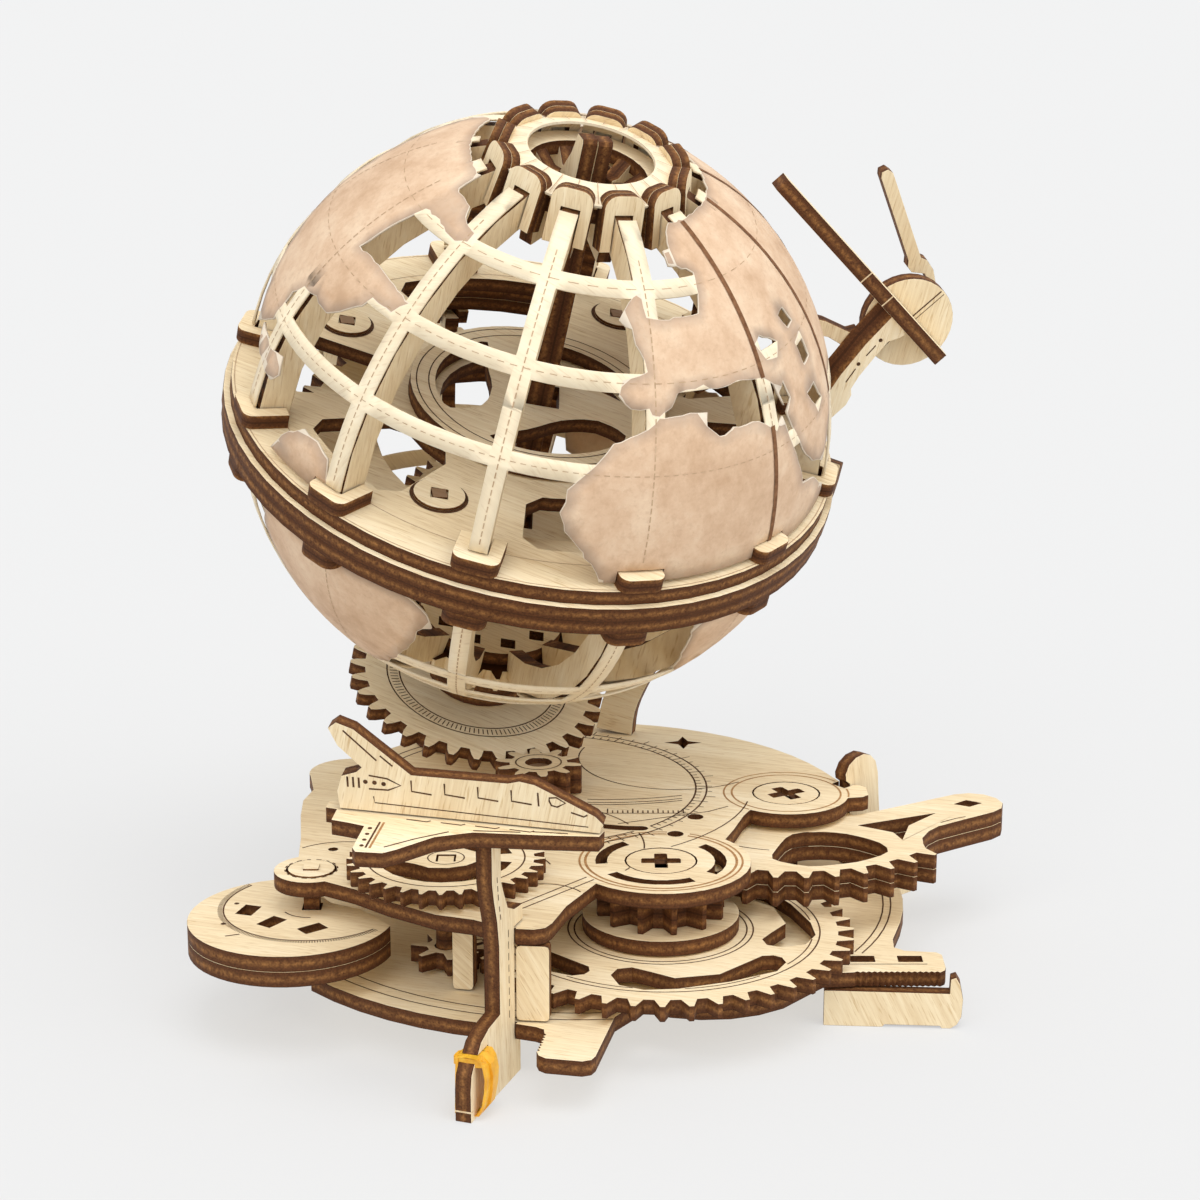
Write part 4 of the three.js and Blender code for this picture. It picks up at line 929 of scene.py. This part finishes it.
def catmull(points, steps):
    """Points along a smooth curve through the given ones."""
    ends = [points[0], *points, points[-1]]
    out = []
    for a, b, c, d in zip(ends, ends[1:], ends[2:], ends[3:]):
        a, b, c, d = Vector(a), Vector(b), Vector(c), Vector(d)
        for k in range(steps):
            t = k / steps
            out.append(0.5 * (2 * b + (c - a) * t + (2 * a - 5 * b + 4 * c - d) * t * t
                              + (3 * b - a - 3 * c + d) * t * t * t))
    return [*out, Vector(points[-1])]


spine = catmull(ARM_SPINE, 4)
sides = ([], [])
for i, at in enumerate(spine):
    d = (spine[min(i + 1, len(spine) - 1)] - spine[max(i - 1, 0)]).normalized()
    half = (8 - 3.5 * i / len(spine)) / 2
    sides[0].append((at.x + d.y * half, max(at.y - d.x * half, 0.05)))
    sides[1].append((at.x - d.y * half, max(at.y + d.x * half, 0.05)))
arm_plane = upright(ARM_FOOT, ARM_BEARING)
arm_normal = direction(arm_plane, (0, 0, 1))
arm = plate("satellite_arm_sheet", arm_plane, sides[0] + sides[1][::-1], [], -1.5, 1.5, "frame",
            ply(tuple(arm_normal), (arm_plane @ Vector((0, 0, -1.5))).dot(arm_normal), seed=4.0))
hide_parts("satellite_arm")
tabs = Ink("boom_tabs", SAT_BODY @ SIDE_UP, "frame", BRIDGE, 6.05)
for x in (-9.3, -16.4):
    tabs.line([(x, -1.5), (x, 1.5)], 0.28)
tabs.finish()
# The bracket comes up from the arm and grips the disc in front; it is two plies, cut on the slant.
BRACKET_LOW, BRACKET_HIGH, SLANT = 1.7, 4.7, 0.77
slanted = Matrix(((1, 0, SLANT, -SLANT * BRACKET_HIGH), (0, 1, -SLANT, SLANT * BRACKET_HIGH),
                  (0, 0, 1, 0), (0, 0, 0, 1)))
bracket_plane = SATELLITE @ SIDE_UP @ slanted
bracket_normal = direction(SATELLITE, (0, -1, 0))
plate("satellite_bracket", bracket_plane,
      [(-19, -17), (-16, -20), (-12.2, -16.2), (-11.3, -14.1), (-11.5, -12.7), (-10.1, -10), (-6.5, -4.9),
       (-4.8, -2.7),
       (-2.4, -1.9), (-1.4, -1.3), (-2.3, 1.2), (-4.4, 2.7), (-6.5, 0.2), (-9.3, -3.1), (-13.9, -9.6),
       (-15.6, -12.6)],
      [], BRACKET_LOW, BRACKET_HIGH, "frame", ply(tuple(bracket_normal), 0.0, seed=2.5))
marks = Ink("bracket_engraving", bracket_plane, "frame", ENGRAVED, BRACKET_HIGH + 0.03)
marks.dots([(-6.5, -2.2), (-10.6, -7.2)], 0.42)
marks.dashes([(-7.4, -3.3), (-9.6, -6.0)], 0.25, 2.8, 0.8)
marks.dashes([(-11.1, -8.2), (-13.3, -11.8)], 0.25, 3.4, 0.8)
marks.finish()
plate("satellite_link", SATELLITE @ SIDE_UP,
      [(-24, 3), (-17.2, 0.9), (-12.2, -1.6), (-10.2, -1.1), (-10.6, -3.4), (-13.2, -4.6), (-16.4, -2.6),
       (-24, -0.6)][::-1],
      [], -1.5, 1.5, "frame", ply(tuple(bracket_normal), 0.0, seed=3.5))

TOE = upright(TOE_CORNER, TOE_BEARING)
leg = Ink("front_leg_engraving", TOE, "frame", ENGRAVED, 1.53, host="front_leg")
leg.dashes([(14.6, 4), (13.6, 8), (12.9, 13.4)], 0.3, 1.1, 0.6)
leg.dashes([(18.2, -16), (18, 2)], 0.25, 1.4, 0.8)
leg.finish()
plate("toe_tab", TOE, [(0.03, -26.4), (1, -26.4), (1, -26.15), (0.03, -26.15)], [], -1.53, 1.53, "frame",
      BRIDGE, bevel=0)

# ---- seams and dashed centre lines on the skins -------------------------------------------------
lines = bmesh.new()


def sphere_line(points, width, r=SKIN_R + CARD_T / 2 + 0.03):
    at = [on_sphere(lo, la, r) for lo, la in points]
    for a, b in zip(at, at[1:]):
        across = a.cross(b - a).normalized() * width / 2
        lines.faces.new([lines.verts.new(p) for p in (a - across, b - across, b + across, a + across)])


def sphere_dashes(points, width=0.22, on=1.1, off=0.5):
    carry = 0
    for (x0, y0), (x1, y1) in zip(points, points[1:]):
        n = max(1, int(math.hypot((x1 - x0) * math.cos(y0 * DEG), y1 - y0) / (on + off)))
        for k in range(n):
            t0, t1 = k / n, (k + on / (on + off)) / n
            sphere_line([(x0 + (x1 - x0) * t0, y0 + (y1 - y0) * t0),
                         (x0 + (x1 - x0) * t1, y0 + (y1 - y0) * t1)], width)


for lon in RIB_LONGITUDES:
    sphere_dashes([(lon, la) for la in range(5, 69, 8)])
    sphere_dashes([(lon, -la) for la in range(12, 66, 8)])
for side_of, belts in PARALLELS.items():
    for la in belts:
        sphere_dashes([(lo, la) for lo in range(-190, 171, 6)], 0.14, 1.0, 0.8)
for k in range(24):
    lon = FIRST_RIB + RIB_PITCH * k / 2
    sphere_line([(lon, PETAL_LOW + 0.3), (lon, PETAL_HIGH - 0.2)], 0.16, PETAL_R + 0.3)
add_object("skin_lines", mesh_of(lines, "skin_lines", GLOBE), "globe", FAINT, slot="printed_card")

# The cards are gores: their seams show the ribs' burnt edges on the far side of the globe.
lines = bmesh.new()
for lon in (-40, -10, 20, 50, 80):
    for lat in range(3, 69):
        here = (lon, lat + 0.5)
        if any(inside(here, l) for l in NORTH_LAND) and not any(inside(here, q) for q in SEAS):
            sphere_line([(lon, lat), (lon, lat + 1)], 1.15, SKIN_R + CARD_T / 2 + 0.08)
add_object("rib_edges", mesh_of(lines, "rib_edges", GLOBE), "globe", EDGE_LINE)

# ---- rubber band --------------------------------------------------------------------------------
strands = bmesh.new()


def strand(path, width, wall):
    """A flat strand: path is (point, outward) pairs and the width runs along each one's third vector."""
    rows = []
    for point, outward, along in path:
        p, o, a = Vector(point), Vector(outward) * wall, Vector(along) * width
        rows.append([strands.verts.new(q) for q in (p, p + a, p + a + o, p + o)])
    for a, b in zip(rows, rows[1:]):
        for j in range(4):
            strands.faces.new([a[j], a[(j + 1) % 4], b[(j + 1) % 4], b[j]])
    strands.faces.new(rows[0])
    strands.faces.new(rows[-1][::-1])


# Down the right face, under the arch, up the left face. Coordinates: along the leg, height, off the face.
DOWN = [(-1.8, -17.2), (0, -16.9), (1.9, -17.0), (2.6, -18.2), (3.1, -20.5), (3.0, -23), (2.6, -25.5),
        (1.9, -27.4), (0, -27.6),
        (-1.6, -27.4), (-1.6, -25), (-1.6, -19), (-1.6, -17.2)]
for start, width, swell in ((1.7, 1.9, 0.3), (3.4, 2.1, 0.75), (5.6, 2.0, 0.1)):
    strand([((start + 0.05 * (z + 22), z, n + (swell if n > 2.4 else 0)), (0, 0, 1 if n > 0 else -1),
             (1, 0, 0)) for n, z in DOWN],
           width, 0.5)
# Round the front of the toe, through the notch.
ROUND = [(7.6, 1.9), (5.6, 2.7), (3.4, 3.0), (2.6, 2.4), (2.4, 1.6), (2.3, 0), (2.4, -1.6), (2.7, -2.2),
         (3.6, -2.3), (5, -2.2)]
strand([((a, -17.1 - (0.9 if n > 2.6 else 0), n), (-0.4, 0, 0.7 if n > 0 else -0.7), (0, -1, 0))
        for a, n in ROUND], 1.5, 0.6)
bmesh.ops.recalc_face_normals(strands, faces=strands.faces)
o = add_object("band_strands", mesh_of(strands, "band_strands", TOE), "frame", RUBBER, slot="rubber")
soften(o, 0.3)
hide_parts("rubber_band")

# ---- floor, lights, camera ----------------------------------------------------------------------
SKY_STRENGTH = 0.80
FLOOR_SIDE = 12  # metres from the middle to each edge
FLOOR_GLOW = 0.525
FLOOR_ALBEDO = 0.26
floor_mesh = bpy.data.meshes.new("floor")
corners = [(x * FLOOR_SIDE, y * FLOOR_SIDE, 0) for x, y in ((-1, -1), (1, -1), (1, 1), (-1, 1))]
floor_mesh.from_pydata(corners, [], [(0, 1, 2, 3)])
s = Shader("studio_floor")
glow = s.add("ShaderNodeEmission")
glow.inputs["Color"].default_value = (1, 1, 1, 1)
glow.inputs["Strength"].default_value = FLOOR_GLOW
s.bsdf.inputs["Base Color"].default_value = (FLOOR_ALBEDO,) * 3 + (1,)
s.bsdf.inputs["Roughness"].default_value = 1.0
s.bsdf.inputs["Specular IOR Level"].default_value = 0.0
both = s.add("ShaderNodeAddShader")
s.link(s.bsdf.outputs[0], both.inputs[0])
s.link(glow.outputs[0], both.inputs[1])
s.link(both.outputs[0], s.output.inputs["Surface"])
floor_mesh.materials.append(s.material)
floor = bpy.data.objects.new("floor", floor_mesh)
bpy.context.scene.collection.objects.link(floor)

world = bpy.data.worlds.new("studio")
bpy.context.scene.world = world
world.use_nodes = True
sky = world.node_tree.nodes["Background"].inputs
sky["Color"].default_value = (0.97, 0.985, 1, 1)
sky["Strength"].default_value = SKY_STRENGTH


def sun(name, toward, strength, angle, colour=(1, 1, 1)):
    light = bpy.data.lights.new(name, "SUN")
    light.energy = strength
    light.angle = angle * DEG
    light.color = colour
    o = bpy.data.objects.new(name, light)
    o.rotation_euler = Vector(toward).to_track_quat("Z", "Y").to_euler()
    bpy.context.scene.collection.objects.link(o)


sun("key", (-0.3, -0.7, 0.75), 0.85, 50, (1, 0.985, 0.955))
sun("top", (0.15, -0.25, 1), 1.0, 36)
sun("right", (0.8, -0.35, 0.6), 0.75, 50)

# Millimetres from the drive axle, and degrees from straight down.
CAMERA_AT = (-11.506, -482.175, 184.710)
CAMERA_PITCH = 74.5
camera = bpy.data.cameras.new("camera")
camera.lens = 81.75
camera.sensor_width = 36
camera.clip_start = 0.01
camera.clip_end = 100
view = bpy.data.objects.new("camera", camera)
view.location = DECK @ Vector(CAMERA_AT)
view.rotation_euler = (CAMERA_PITCH * DEG, 0, 0)
bpy.context.scene.collection.objects.link(view)
bpy.context.scene.camera = view
bpy.context.scene.view_settings.view_transform = "Standard"
